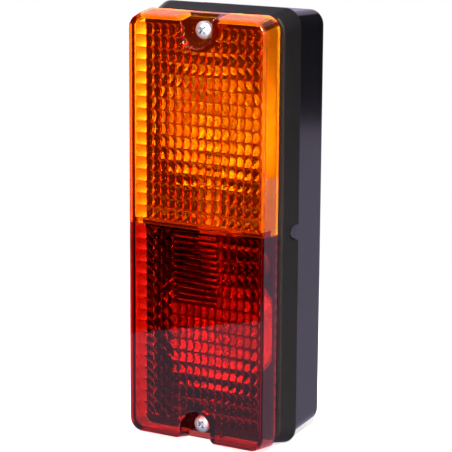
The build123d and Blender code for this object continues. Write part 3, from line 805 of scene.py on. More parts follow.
@dataclass(frozen=True)
class Finishes:
    """Every finish of the lamp."""

    amber: Clear = Clear(
        "amber acrylic",
        Colour(1.0, 0.96, 0.9),
        Colour(1.0, 0.94, 0.86),
        Colour(0.995, 0.8, 0.02),
        800.0,
        # Painted glow: a faint orange-red emission standing in for light carried through the amber acrylic.
        glow=Colour(0.04, 0.002, 0.0),
    )
    red: Clear = Clear(
        "red acrylic",
        Colour(1.0, 0.9, 0.9),
        Colour(0.98, 0.86, 0.86),
        Colour(0.92, 0.22, 0.03),
        800.0,
    )
    bulb_glass: Clear = Clear(
        "bulb glass",
        Colour(0.98, 0.99, 0.99),
        Colour(0.96, 0.98, 0.98),
        Colour(1.0, 1.0, 1.0),
        0.0,
        index=1.5,
    )
    rubber: Skin = Skin(
        "rim rubber",
        Colour(0.0016, 0.0014, 0.0014),
        Colour(0.003, 0.0026, 0.0026),
        0.5,
        specular=0.06,
    )
    grommet: Skin = Skin("grommet rubber", Colour(0.016, 0.016, 0.017), Colour(0.024, 0.024, 0.024), 0.66)
    housing: Skin = Skin(
        "housing plastic",
        Colour(0.002, 0.002, 0.0025),
        Colour(0.0035, 0.003, 0.004),
        0.13,
        smear=0.05,
        grain_depth=0.002 * MM,
    )
    zinc: Skin = Skin.metal("zinc plate", Colour(0.29, 0.31, 0.345), Colour(0.23, 0.25, 0.28), 0.45)
    sheet_steel: Skin = Skin.metal(
        "dark plated sheet", Colour(0.16, 0.15, 0.13), Colour(0.1, 0.095, 0.085), 0.4
    )
    dish: Skin = Skin.metal(
        "bright dish", Colour(0.94, 0.94, 0.92), Colour(0.88, 0.88, 0.86), 0.2, grain=0.002 * MM
    )
    divider: Skin = Skin("divider plastic", Colour(0.012, 0.012, 0.012), Colour(0.02, 0.02, 0.02), 0.5)
    laminate: Skin = Skin("brown insulation", Colour(0.16, 0.07, 0.03), Colour(0.1, 0.045, 0.02), 0.48)
    brass: Skin = Skin.metal("contact brass", Colour(0.75, 0.52, 0.2), Colour(0.6, 0.4, 0.15), 0.3)
    nickel: Skin = Skin.metal("cap brass", Colour(0.72, 0.64, 0.46), Colour(0.6, 0.52, 0.36), 0.26)
    base: Skin = Skin("base insulation", Colour(0.014, 0.014, 0.016), Colour(0.02, 0.02, 0.022), 0.2)
    wire: Skin = Skin.metal(
        "filament wire", Colour(0.3, 0.29, 0.28), Colour(0.22, 0.21, 0.2), 0.4, grain=0.02 * MM
    )


class Wardrobe:
    """Makes each finish once and dresses pieces with it."""

    def __init__(self) -> None:
        """Build the shared effects."""
        self.effects = Effects()
        self.made: dict[str, Material] = {}

    def dress(self, obj: Object, finish: Skin | Clear) -> None:
        """Give an object one finish.

        Args:
            obj: the object.
            finish: its finish.
        """
        if finish.name not in self.made:
            self.made[finish.name] = finish.make(self.effects)
        obj.data.materials.clear()
        obj.data.materials.append(self.made[finish.name])


def place_piece(obj: Object, slot: str, *nodes: str) -> None:
    """Tie a finished piece to the lamp and let it stand for its CAD nodes.

    Args:
        obj: the piece.
        slot: its material slot; not used.
        nodes: the nodes it stands for.
    """
    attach(obj, BODY)
    if nodes:
        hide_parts(*nodes)
    log.info("%s: %d faces", obj.name, len(obj.data.polygons))


def finish_piece(
    obj: Object, wardrobe: Wardrobe, finish: Skin | Clear, slot: str, angle: float, *nodes: str
) -> None:
    """Smooth, dress and place one finished piece.

    Args:
        obj: the piece.
        wardrobe: gives pieces their finish.
        finish: finish of the piece.
        slot: its material slot.
        angle: greatest angle between faces that are shaded as one.
        nodes: the nodes it stands for.
    """
    Bench.smooth(obj, angle)
    wardrobe.dress(obj, finish)
    place_piece(obj, slot, *nodes)


@dataclass
class OpticField:
    """One rectangle of optics on the inner lens face, made of domed cells."""

    left: float
    right: float
    bottom: float
    top: float
    columns: int
    rows: int
    across: float = 0.95 * MM
    along: float = 1.35 * MM
    turn: float = 0.0
    pitch: float = 0.0
    root: float = 0.6 * MM
    margin: float = 0.02 * MM
    stations: tuple[float, ...] = (0.07, 0.18, 0.34, 0.5, 0.66, 0.82, 0.93)
    steepness: float = 2.0

    def build(self, name: str, face: float) -> Object:
        """Make the field as a closed slab whose back carries the domes.

        Args:
            name: name of the slab.
            face: place of the inner lens face along Y.

        Returns:
            The slab.
        """
        gap = 2 * self.margin
        width, height = self.right - self.left - gap, self.top - self.bottom - gap
        columns, rows = self.columns, self.rows
        if self.turn:
            reach = hypot(width, height)
            columns = rows = ceil(reach / self.pitch)
            width = height = columns * self.pitch
        obj = self._cells(name, width, height, columns, rows)
        centre = ((self.left + self.right) / 2, face, (self.bottom + self.top) / 2)
        turn = Matrix.Rotation(self.turn, 4, "Y") @ Matrix.Rotation(-pi / 2, 4, "X")
        obj.data.transform(Matrix.Translation(centre) @ turn)
        if self.turn:
            self._trim(obj)
        self._back(obj, face)
        return Bench.close(obj)

    def _cells(self, name: str, width: float, height: float, columns: int, rows: int) -> Object:
        """Make a sheet of domed cells, lying flat with its domes up.

        Args:
            name: name of the sheet.
            width: width of the sheet.
            height: height of the sheet.
            columns: cells across.
            rows: cells up.

        Returns:
            The sheet.
        """
        Bench.clear()
        facets = len(self.stations) + 1
        across = facets if self.across else 1
        along = facets if self.along else 1
        bpy.ops.mesh.primitive_grid_add(
            x_subdivisions=across * columns, y_subdivisions=along * rows, size=1
        )
        obj = bpy.context.object
        obj.name = name
        obj.scale = (width, height, 1)
        Bench.settle(obj)
        if self.across:
            self._dome(obj, 0, width / columns, width / 2, self.across)
        if self.along:
            self._dome(obj, 1, height / rows, height / 2, self.along)
        return obj

    def _dome(self, obj: Object, axis: int, cell: float, reach: float, rise: float) -> None:
        """Move the lines between a cell's borders to an arch that is steep at its feet, line by line.

        Args:
            obj: the sheet of cells.
            axis: direction across the arch, as an index.
            cell: width of a cell that way.
            reach: half the sheet's width that way.
            rise: height of the arch.
        """
        facets = len(self.stations) + 1
        lines: list[list[int]] = [[] for _ in range(facets)]
        for vert in obj.data.vertices:
            lines[round((vert.co[axis] + reach) / cell * facets) % facets].append(vert.index)
        for number, station in enumerate(self.stations, start=1):
            chosen = set(lines[number])
            arch = 1 - abs(2 * station - 1) ** self.steepness
            move = [0.0, 0.0, rise * arch]
            move[axis] = (station - number / facets) * cell
            Bench.pick_verts(obj, lambda vert: vert.index in chosen)
            bpy.ops.transform.translate(value=move)
        Bench.leave()

    def _trim(self, obj: Object) -> None:
        """Cut a turned sheet back to the field's rectangle.

        Args:
            obj: the sheet.
        """
        gap = self.margin
        sides = (
            ((self.left + gap, 0, 0), (-1, 0, 0)),
            ((self.right - gap, 0, 0), (1, 0, 0)),
            ((0, 0, self.bottom + gap), (0, 0, -1)),
            ((0, 0, self.top - gap), (0, 0, 1)),
        )
        for point, normal in sides:
            Bench.open(obj, whole=True)
            bpy.ops.mesh.bisect(plane_co=point, plane_no=normal, clear_outer=True)
            Bench.leave()

    def _back(self, obj: Object, face: float) -> None:
        """Close the sheet with a flat side inside the lens wall.

        Args:
            obj: the sheet.
            face: place of the inner lens face along Y.
        """
        Bench.pick_edges(obj, lambda edge: edge.is_boundary)
        bpy.ops.mesh.extrude_region_move(TRANSFORM_OT_translate={"value": (0, -self.root, 0)})
        bpy.ops.transform.resize(value=(1, 0, 1), center_override=(0, face - self.root, 0))
        bpy.ops.mesh.edge_face_add()
        Bench.leave()


@dataclass
class Lens:
    """Two-colour lens: a hollow shell with screw notches and domed optics inside."""

    end_growth: float = 1.4 * MM
    side_growth: float = 0.5 * MM
    corner: float = 6.2 * MM
    edge: float = 1.1 * MM
    foot_gap: float = 1.5 * MM
    front_wall: float = 3.0 * MM
    side_wall: float = 2.2 * MM
    notch_width: float = 15.4 * MM
    notch_reach: float = 13.5 * MM
    notch_depth: float = 8.4 * MM
    notch_floor: float = 3.0 * MM
    notch_wall: float = 2.0 * MM
    notch_mouth: float = 2.4 * MM
    screw_inset: float = 6.2 * MM
    hole: float = 2.3 * MM
    seam_height: float = 1.9 * MM
    seam_slope: float = radians(2.5)
    rib_height: float = 2.1 * MM
    rib_depth: float = 8.0 * MM
    optic_margin: float = 0.7 * MM
    pillow_height: float = 5.44 * MM
    pillow_rows: int = 16
    pillow_columns: int = 15
    edge_column: float = 5.2 * MM
    edge_across: float = 0.35 * MM
    edge_along: float = 0.6 * MM
    amber_top: float = 3.8 * MM
    red_top: float = 1.6 * MM
    stripe_column: float = 3.6 * MM
    stripe_turn: float = radians(38)
    stripe_pitch: float = 3.1 * MM
    diamond_width: float = 10.3 * MM
    diamond_pitch: float = 4.0 * MM
    diamond_rise: float = 0.5 * MM
    bar_width: float = 22.0 * MM
    bar_rows: int = 6
    smooth_angle: float = radians(28)
    round_sides: int = 8
    edge_sides: int = 6
    hole_sides: int = 32
    spare: float = 2.0 * MM
    box: Span = box_of("amber_lens")

    @property
    def front(self) -> float:
        """Place of the front face along Y."""
        return self.box.low.y

    @property
    def seat(self) -> float:
        """Place of the lens foot along Y."""
        return self.box.high.y - self.foot_gap

    @property
    def half_width(self) -> float:
        """Half the width of the front face."""
        return self.box.high.x - self.side_growth

    @property
    def half_height(self) -> float:
        """Half the height of the front face."""
        return self.box.high.z - self.end_growth

    @property
    def face(self) -> float:
        """Place of the inner face along Y."""
        return self.front + self.front_wall

    @property
    def field_edge(self) -> float:
        """Half the width of the optics."""
        return self.half_width - self.side_wall - self.optic_margin

    def _tray(self, name: str, wall: float, front: float, back: float) -> Object:
        """Make a drafted block with round corners, as the lens outline less a wall.

        Args:
            name: name of the block.
            wall: distance inside the lens outline.
            front: front end along Y.
            back: back end along Y.

        Returns:
            The block.
        """
        half = (self.half_width - wall, self.half_height - wall)
        obj = Bench.slab(name, half, self.corner - wall, front, back, self.round_sides)
        share = (back - self.front) / (self.seat - self.front)
        Bench.spread(obj, back, half, (self.side_growth * share, self.end_growth * share))
        return obj

    def _notch_block(self, half: Half, grow: float, front: float, back: float) -> Object:
        """Make the U-shaped block of one screw notch.

        Args:
            half: which end of the lens.
            grow: distance outside the notch's walls.
            front: front end along Y.
            back: back end along Y.

        Returns:
            The block.
        """
        radius = self.notch_width / 2 + grow
        near = self.half_height - self.notch_reach - grow
        far = self.half_height + self.notch_reach
        low, high = sorted((half.value * near, half.value * far))
        obj = Bench.block("notch block", (-radius, front, low), (radius, back, high))
        near_end = half.value * near
        Bench.round_edges(
            obj,
            radius - NEAR,
            2 * self.round_sides,
            lambda edge: Bench.along_depth(edge) and abs(edge.verts[0].co.z - near_end) < NEAR,
        )
        return obj

    def _round_mouths(self, obj: Object) -> None:
        """Round the corners where the notches open at the lens ends.

        Args:
            obj: the shell.
        """
        reach = self.half_height - self.notch_mouth
        half = self.notch_width / 2

        def at_mouth(vert: BMVert) -> bool:
            """Tell whether a vertex lies at a notch's mouth."""
            return abs(abs(vert.co.x) - half) < NEAR and abs(vert.co.z) > reach

        def mouth(edge: BMEdge) -> bool:
            """Tell whether an edge is a corner of a notch's mouth."""
            return Bench.along_depth(edge) and all(at_mouth(vert) for vert in edge.verts)

        Bench.round_edges(obj, self.notch_mouth, self.round_sides, mouth)

    def _round_front(self, obj: Object) -> None:
        """Round the edges of the front face.

        Args:
            obj: the shell.
        """

        def rim(edge: BMEdge) -> bool:
            """Tell whether an edge bounds the front face."""
            ahead = all(vert.co.y < self.front + NEAR for vert in edge.verts)
            return ahead and sum(face.normal.y < -SQUARE for face in edge.link_faces) == 1

        Bench.round_edges(obj, self.edge, self.edge_sides, rim)

    def shell(self) -> Object:
        """Make the whole hollow shell before it is parted at the seam.

        Returns:
            The shell.
        """
        shell = self._tray("lens shell", 0.0, self.front, self.seat)
        notch_face = self.front + self.notch_depth
        for half in Half:
            Bench.carve(shell, self._notch_block(half, 0.0, self.front - self.spare, notch_face), Cut.TAKE)
        Bench.close(shell)
        self._round_mouths(shell)
        self._round_front(shell)
        cavity = self._tray("cavity", self.side_wall, self.face, self.seat + self.spare)
        case_back = notch_face + self.notch_floor
        for half in Half:
            case = self._notch_block(half, self.notch_wall, self.front - self.spare, case_back)
            Bench.carve(cavity, case, Cut.TAKE)
        Bench.carve(shell, cavity, Cut.TAKE)
        for half in Half:
            height = half.value * (self.half_height - self.screw_inset)
            place = (0, self.seat + self.spare, height)
            far = self.seat - self.front + 2 * self.spare
            drill = Bench.bar("drill", self.hole, (0, far), Axis.FORWARD, place, self.hole_sides)
            Bench.carve(shell, drill, Cut.TAKE)
        return Bench.close(shell)

    def _edge_field(self, bottom: float, top: float) -> OpticField:
        """Give the wide column of shallow pillows at the left edge.

        Args:
            bottom: lowest height of the column.
            top: highest height of the column.

        Returns:
            The column.
        """
        left = -self.field_edge
        right = left + self.edge_column
        return OpticField(left, right, bottom, top, 1, self.pillow_rows, self.edge_across, self.edge_along)

    def amber_fields(self) -> list[OpticField]:
        """Give the optics of the amber half: a wide column, then even columns.

        Returns:
            The fields.
        """
        edge, top = self.field_edge, self.half_height - self.amber_top
        bottom = top - self.pillow_rows * self.pillow_height
        inner = self.edge_column - edge
        return [
            self._edge_field(bottom, top),
            OpticField(inner, edge, bottom, top, self.pillow_columns, self.pillow_rows),
        ]

    def red_fields(self) -> list[OpticField]:
        """Give the optics of the red half: columns, stripes, diamonds, bars, flutes and pillows.

        Returns:
            The fields.
        """
        edge, top = self.field_edge, self.seam_height - self.red_top
        rows = self.pillow_rows
        bottom = top - rows * self.pillow_height
        inner = self.edge_column - edge
        stripes = inner + self.stripe_column
        diamonds = stripes + self.diamond_width
        bars = diamonds + self.bar_width
        bar_bottom = top - self.bar_rows * self.pillow_height
        shallow = self.diamond_rise
        pillow = (edge - inner) / self.pillow_columns
        flutes, pillows = round(self.bar_width / pillow), round((edge - bars) / pillow)
        return [
            self._edge_field(bottom, top),
            OpticField(
                inner,
                stripes,
                bottom,
                top,
                1,
                rows,
                across=0.0,
                turn=self.stripe_turn,
                pitch=self.stripe_pitch,
            ),
            OpticField(stripes, diamonds, bottom, top, 1, 1, shallow, shallow, pi / 4, self.diamond_pitch),
            OpticField(diamonds, bars, bar_bottom, top, 1, 2 * self.bar_rows, across=0.0),
            OpticField(diamonds, bars, bottom, bar_bottom, flutes, rows - self.bar_rows),
            OpticField(bars, edge, bottom, top, pillows, rows),
        ]

    def _add_optics(self, obj: Object, fields: Sequence[OpticField], half: Half) -> None:
        """Add fields of optics to one half and keep its notch clear.

        Args:
            obj: the half.
            fields: its optics.
            half: which half it is.
        """
        for each in fields:
            slab = each.build("optic slab", self.face)
            core = self._notch_block(half, self.notch_wall / 2, self.front - self.spare, self.seat)
            Bench.carve(slab, core, Cut.TAKE)
            Bench.carve(obj, slab, Cut.ADD)

    def _part(self, obj: Object, half: Half) -> None:
        """Cut the shell at the sloping seam and keep one half.

        Args:
            obj: the shell.
            half: which half is kept.
        """
        normal = (0, sin(self.seam_slope), cos(self.seam_slope))
        Bench.open(obj, whole=True)
        bpy.ops.mesh.bisect(
            plane_co=(0, self.front, self.seam_height),
            plane_no=normal,
            use_fill=True,
            clear_inner=half is Half.UPPER,
            clear_outer=half is Half.LOWER,
        )
        Bench.leave()

    def _mark_frost(self, obj: Object, half: Half) -> None:
        """Mark the walls' frosted inner faces: all of the upper half, all but the right of the lower.

        Args:
            obj: the half.
            half: which half it is.
        """
        frost = obj.data.attributes.new(FROST, "FLOAT", "FACE")
        across = self.half_width - self.side_wall
        up = self.half_height - self.side_wall
        for face in obj.data.polygons:
            x, y, z = face.center
            side = abs(abs(x) - across) < self.side_growth + NEAR and abs(face.normal.x) > ALIGNED
            side = side and (x < 0 or half is Half.UPPER)
            end = abs(abs(z) - up) < self.end_growth + NEAR and abs(face.normal.z) > ALIGNED
            frost.data[face.index].value = float(y > self.face - NEAR and (side or end))

    def build(self, wardrobe: Wardrobe, finishes: Finishes) -> None:
        """Make, dress and place both halves.

        Args:
            wardrobe: gives pieces their finish.
            finishes: every finish of the lamp.
        """
        lower = self.shell()
        upper = Bench.copy(lower, "lens shell upper")
        across = self.half_width - self.side_wall / 2
        rib = Bench.block(
            "seam rib",
            (-across, self.face - self.front_wall / 4, self.seam_height - self.rib_height),
            (across, self.front + self.rib_depth, self.seam_height + self.rib_height),
        )
        Bench.carve(upper, rib, Cut.ADD)
        self._part(upper, Half.UPPER)
        self._part(lower, Half.LOWER)
        self._add_optics(upper, self.amber_fields(), Half.UPPER)
        self._add_optics(lower, self.red_fields(), Half.LOWER)
        for obj, half, name, finish in (
            (upper, Half.UPPER, "amber_lens", finishes.amber),
            (lower, Half.LOWER, "red_lens", finishes.red),
        ):
            obj.name = f"{name}_optics"
            Bench.close(obj)
            Bench.smooth(obj, self.smooth_angle)
            self._mark_frost(obj, half)
            wardrobe.dress(obj, finish)
            place_piece(obj, f"{name.split('_')[0]}_acrylic", name)


def thread(root: float, crest: float, start: float, end: float, pitch: float) -> list[tuple[float, float]]:
    """Give the outline of a ringed thread between two heights.

    Args:
        root: radius at the thread's root.
        crest: radius at the thread's crest.
        start: height where the thread starts.
        end: height where it ends.
        pitch: height of one turn.

    Returns:
        Radius and height of each ring.
    """
    turns = int((end - start) / pitch)
    line: list[tuple[float, float]] = []
    for turn in range(turns):
        foot = start + turn * pitch
        line += [(root, foot), (crest, foot + CREST_START * pitch), (crest, foot + CREST_END * pitch)]
    return line + [(root, start + turns * pitch)]


@dataclass
class LensScrews:
    """Two pan-head screws with cross recesses that hold the lens."""

    head_height: float = 2.8 * MM
    head_wall: float = 0.9 * MM
    shank: float = 2.0 * MM
    root: float = 1.6 * MM
    pitch: float = 1.0 * MM
    threaded: float = 18.0 * MM
    tip: float = 0.8 * MM
    cross_width: float = 1.3 * MM
    cross_span: float = 5.0 * MM
    cross_depth: float = 1.7 * MM
    cross_taper: float = 0.6
    dome_rings: int = 9
    dome_fullness: float = 0.75
    sides: int = 40
    box: Span = box_of("lens_screws")

    def _body(self, radius: float, height: float) -> Object:
        """Turn the upper screw.

        Args:
            radius: radius of the head.
            height: height of the screw's axis.

        Returns:
            The screw without its recess.
        """
        seat = self.box.size.y - self.head_height
        rise = self.head_height - self.head_wall
        line = [(0, 0), (self.root - self.tip / 2, 0), (self.root, self.tip)]
        line += thread(self.root, self.shank, self.tip, self.threaded, self.pitch)
        line += [(self.shank, self.threaded + self.pitch), (self.shank, seat), (radius, seat)]
        for ring in range(self.dome_rings):
            angle = pi / 2 * ring / self.dome_rings
            out, up = cos(angle) ** self.dome_fullness, sin(angle) ** self.dome_fullness
            line.append((radius * out, seat + self.head_wall + rise * up))
        line.append((0, seat + self.head_height))
        return Bench.lathe("screw", line, Axis.FORWARD, (0, self.box.high.y, height), self.sides)

    def _limb(self, height: float, turn: float) -> Object:
        """Make one tapered limb of the recess tool.

        Args:
            height: height of the screw's axis.
            turn: angle of the limb about that axis.

        Returns:
            The limb.
        """
        half, reach = self.cross_width / 2, self.cross_span / 2
        floor = self.box.low.y + self.cross_depth
        limb = Bench.block("limb", (-half, self.box.low.y - self.cross_depth, -reach), (half, floor, reach))
        Bench.pick_verts(limb, lambda vert: vert.co.y > floor - NEAR)
        taper = (self.cross_taper, 1, self.cross_taper)
        bpy.ops.transform.resize(value=taper, center_override=(0, floor, 0))
        Bench.leave()
        limb.data.transform(Matrix.Translation((0, 0, height)) @ Matrix.Rotation(turn, 4, "Y"))
        return limb

    def build(self, wardrobe: Wardrobe, finish: Skin) -> None:
        """Make, dress and place both screws.

        Args:
            wardrobe: gives pieces their finish.
            finish: finish of the screws.
        """
        radius = self.box.size.x / 2
        height = self.box.high.z - radius
        upper = self._body(radius, height)
        for turn in (pi / 4, -pi / 4):
            Bench.carve(upper, self._limb(height, turn), Cut.TAKE)
        lower = Bench.copy(upper, "lower screw", MIRROR_UP)
        pair = Bench.join("lens_screw_pair", [upper, lower])
        finish_piece(pair, wardrobe, finish, "zinc_steel", SMOOTH, "lens_screws")


@dataclass
class Dishes:
    """Two pressed reflector dishes, each open at the bulb's neck."""

    light_height: float = 46.5 * MM
    hole: float = 1.6 * MM
    land: float = 7.0 * MM
    radius: float = 26.0 * MM
    lip: float = 1.5 * MM
    sheet: float = 0.8 * MM
    bend: float = 1.64
    rings: int = 12
    sides: int = 72
    neck: float = 8.7 * MM
    bulb_place: float = -32.0 * MM
    box: Span = box_of("indicator_reflector")

    def _dish(self) -> Object:
        """Turn the upper dish and cut it for the bulb's neck.

        Returns:
            The dish.
        """
        floor, rim = self.sheet, self.box.size.y
        front = [(self.hole, floor)]
        for ring in range(self.rings + 1):
            share = ring / self.rings
            radius = self.land + (self.radius - self.land) * share
            front.append((radius, floor + (rim - floor) * share**self.bend))
        front.append((self.radius + self.lip, rim))
        line = front + [(radius, height - self.sheet) for radius, height in reversed(front)]
        dish = Bench.lathe("dish", line, Axis.FORWARD, (0, self.box.high.y, self.light_height), self.sides)
        place = (0, self.bulb_place, 0)
        neck = Bench.bar("neck", self.neck, (0, self.light_height), Axis.UP, place, self.sides)
        Bench.carve(dish, neck, Cut.TAKE)
        return Bench.close(dish)

    def build(self, wardrobe: Wardrobe, finish: Skin) -> None:
        """Make, dress and place both dishes.

        Args:
            wardrobe: gives pieces their finish.
            finish: finish of the dishes.
        """
        upper = self._dish()
        upper.name = "indicator_dish"
        lower = Bench.copy(upper, "stop_tail_dish", MIRROR_UP)
        finish_piece(upper, wardrobe, finish, "bright_dish", SMOOTH, "indicator_reflector")
        finish_piece(lower, wardrobe, finish, "bright_dish", SMOOTH, "stop_tail_reflector")


@dataclass
class BulbGlasses:
    """Two clear pear-shaped envelopes, hollow, with a stem inside."""

    radius: float = 12.5 * MM
    wall: float = 0.7 * MM
    neck: float = 7.05 * MM
    neck_length: float = 7.0 * MM
    stem: float = 3.6 * MM
    stem_length: float = 13.0 * MM
    stem_foot: float = 1.5 * MM
    belly_angle: float = radians(-45)
    rings: int = 12
    sides: int = 48
    place: float = -32.0 * MM
    box: Span = box_of("indicator_bulb_glass")

    def _pear(self, inset: float, start: float) -> list[tuple[float, float]]:
        """Give the half outline of the pear from its neck to its pole.

        Args:
            inset: distance inside the outer face.
            start: height where the neck starts.

        Returns:
            Radius and height of each ring.
        """
        light = self.box.high.z - self.radius
        radius = self.radius - inset
        line = [(self.neck - inset, start), (self.neck - inset, self.box.low.z + self.neck_length)]
        for ring in range(self.rings):
            angle = self.belly_angle + (pi / 2 - self.belly_angle) * ring / self.rings
            line.append((radius * cos(angle), light + radius * sin(angle)))
        return line + [(0, light + radius)]

    def _glass(self) -> Object:
        """Turn the upper envelope and its hollow.

        Returns:
            The hollow envelope.
        """
        foot = self.box.low.z
        floor, stem_end = foot + self.stem_foot, foot + self.stem_length
        centre = (0, self.place, 0)
        outer = Bench.lathe("glass", [(0, foot)] + self._pear(0, foot), Axis.UP, centre, self.sides)
        stem = [(0, stem_end), (self.stem, stem_end), (self.stem, floor)]
        hollow = Bench.lathe("hollow", stem + self._pear(self.wall, floor), Axis.UP, centre, self.sides)
        Bench.open(hollow, whole=True)
        bpy.ops.mesh.flip_normals()
        Bench.leave()
        return Bench.join("indicator_glass", [outer, hollow])

    def build(self, wardrobe: Wardrobe, finish: Clear) -> None:
        """Make, dress and place both envelopes.

        Args:
            wardrobe: gives pieces their finish.
            finish: finish of the envelopes.
        """
        upper = self._glass()
        lower = Bench.copy(upper, "stop_tail_glass")
        lower.data.transform(MIRROR_UP)
        lower.data.flip_normals()
        finish_piece(upper, wardrobe, finish, "clear_glass", SMOOTH, "indicator_bulb_glass")
        finish_piece(lower, wardrobe, finish, "clear_glass", SMOOTH, "stop_tail_bulb_glass")


@dataclass
class Studs:
    """Two hexagon-headed mounting studs with ringed threads."""

    radius: float = 3.0 * MM
    root: float = 2.5 * MM
    pitch: float = 1.0 * MM
    tip: float = 0.8 * MM
    neck: float = 3.5 * MM
    head: float = 5.6 * MM
    head_height: float = 4.0 * MM
    head_edge: float = 0.3 * MM
    height: float = 60.0 * MM
    sides: int = 36
    box: Span = box_of("mounting_studs")

    def build(self, wardrobe: Wardrobe, finish: Skin) -> None:
        """Make, dress and place both studs.

        Args:
            wardrobe: gives pieces their finish.
            finish: finish of the studs.
        """
        length, seat = self.box.high.y, self.box.size.y - self.head_height
        line = [(0, 0), (self.root - self.tip / 2, 0), (self.root, self.tip)]
        line += thread(self.root, self.radius, self.tip, length - self.pitch, self.pitch)
        line += [(self.radius, length), (self.neck, length), (self.neck, seat), (0, seat)]
        place = (0, self.box.high.y, self.height)
        upper = Bench.lathe("stud", line, Axis.FORWARD, place, self.sides)
        top = seat + self.head_height
        line = [
            (0, seat),
            (self.head, seat),
            (self.head, top - self.head_edge),
            (self.head - self.head_edge, top),
            (0, top),
        ]
        head = Bench.lathe("head", line, Axis.FORWARD, place, HEXAGON)
        Bench.spin(head, place, pi / HEXAGON)
        upper = Bench.join("stud", [upper, head])
        lower = Bench.copy(upper, "lower stud", MIRROR_UP)
        pair = Bench.join("mounting_stud_pair", [upper, lower])
        finish_piece(pair, wardrobe, finish, "zinc_steel", SMOOTH, "mounting_studs")


@dataclass
class Rim:
    """Thick rubber rim: a set-back neck under the lens, then a drafted body notched at each side."""

    corner: float = 8.0 * MM
    draft: float = 2.4 * MM
    edge: float = 0.9 * MM
    back_edge: float = 0.4 * MM
    neck_reach: float = 0.9 * MM
    neck_length: float = 5.2 * MM
    neck_inset: float = 4.4 * MM
    neck_corner: float = 4.4 * MM
    web: float = 2.0 * MM
    spigot_inset: float = 2.9 * MM
    spigot_corner: float = 5.9 * MM
    mouth_inset: float = 5.6 * MM
    mouth_corner: float = 3.2 * MM
    boss: float = 3.9 * MM
    screw_height: float = 89.1 * MM
    notch_width: float = 7.2 * MM
    notch_depth: float = 6.5 * MM
    edge_sides: int = 5
    sides: int = 8
    spare: float = 2.0 * MM
    box: Span = box_of("rim_gasket")

    def _outline(self, name: str, inset: float, corner: float, front: float, back: float) -> Object:
        """Make a block set in from the rim's outline."""
        half = (self.box.high.x - inset, self.box.high.z - inset)
        return Bench.slab(name, half, corner, front, back, self.sides)

    def _body(self, front: float, back: float) -> Object:
        """Make the drafted body with rounded edges at both ends.

        Args:
            front: front end along Y.
            back: back end along Y.

        Returns:
            The body.
        """
        body = self._outline("rim_moulding", 0.0, self.corner, front, back)
        Bench.spread(body, front, (self.box.high.x, self.box.high.z), (-self.draft, -self.draft))
        for place, radius in ((front, self.edge), (back, self.back_edge)):
            Bench.round_edges(body, radius, self.edge_sides, lambda edge: Bench.at_depth(edge, place))
        return body

    def build(self, wardrobe: Wardrobe, finish: Skin) -> None:
        """Make, dress and place the rim.

        Args:
            wardrobe: gives pieces their finish.
            finish: finish of the rim.
        """
        back = self.box.high.y
        seat, behind = self.box.low.y - self.neck_reach, back + self.spare
        shoulder = seat + self.neck_length
        before = seat - self.spare
        rim = self._body(shoulder, back)
        neck = self._outline("neck", self.neck_inset, self.neck_corner, seat, shoulder + self.web / 2)
        Bench.carve(rim, neck, Cut.ADD)
        spigot = self._outline("spigot", self.spigot_inset, self.spigot_corner, shoulder + self.web, behind)
        Bench.carve(rim, spigot, Cut.TAKE)
        mouth = self._outline("mouth", self.mouth_inset, self.mouth_corner, before, behind)
        Bench.carve(rim, mouth, Cut.TAKE)
        for half in Half:
            place = (0, behind, half.value * self.screw_height)
            boss = Bench.bar("boss", self.boss, (0, behind - before), Axis.FORWARD, place, 4 * self.sides)
            Bench.carve(rim, boss, Cut.TAKE)
        reach = self.box.high.x + self.spare
        notch = Bench.tongue("notch", self.notch_width, back - self.notch_depth, behind, reach, self.sides)
        Bench.carve(rim, notch, Cut.TAKE)
        finish_piece(Bench.close(rim), wardrobe, finish, "rim_rubber", SMOOTH, "rim_gasket")


@dataclass(frozen=True)
class Post:
    """Round post on the housing's back wall with a blind bore, all lengths measured forward."""

    radius: float
    end: float
    bore: float
    depth: float

    def make(self, x: float, z: float, root: float, sides: int) -> Object:
        """Turn the post with its bore.

        Args:
            x: place of its axis across the lamp.
            z: height of its axis.
            root: where it starts inside the wall.
            sides: number of its sides.

        Returns:
            The post.
        """
        floor = self.end - self.depth
        line = [(0, root), (self.radius, root), (self.radius, self.end), (self.bore, self.end)]
        line += [(self.bore, floor), (0, floor)]
        return Bench.lathe("post", line, Axis.FORWARD, (x, 0, z), sides)


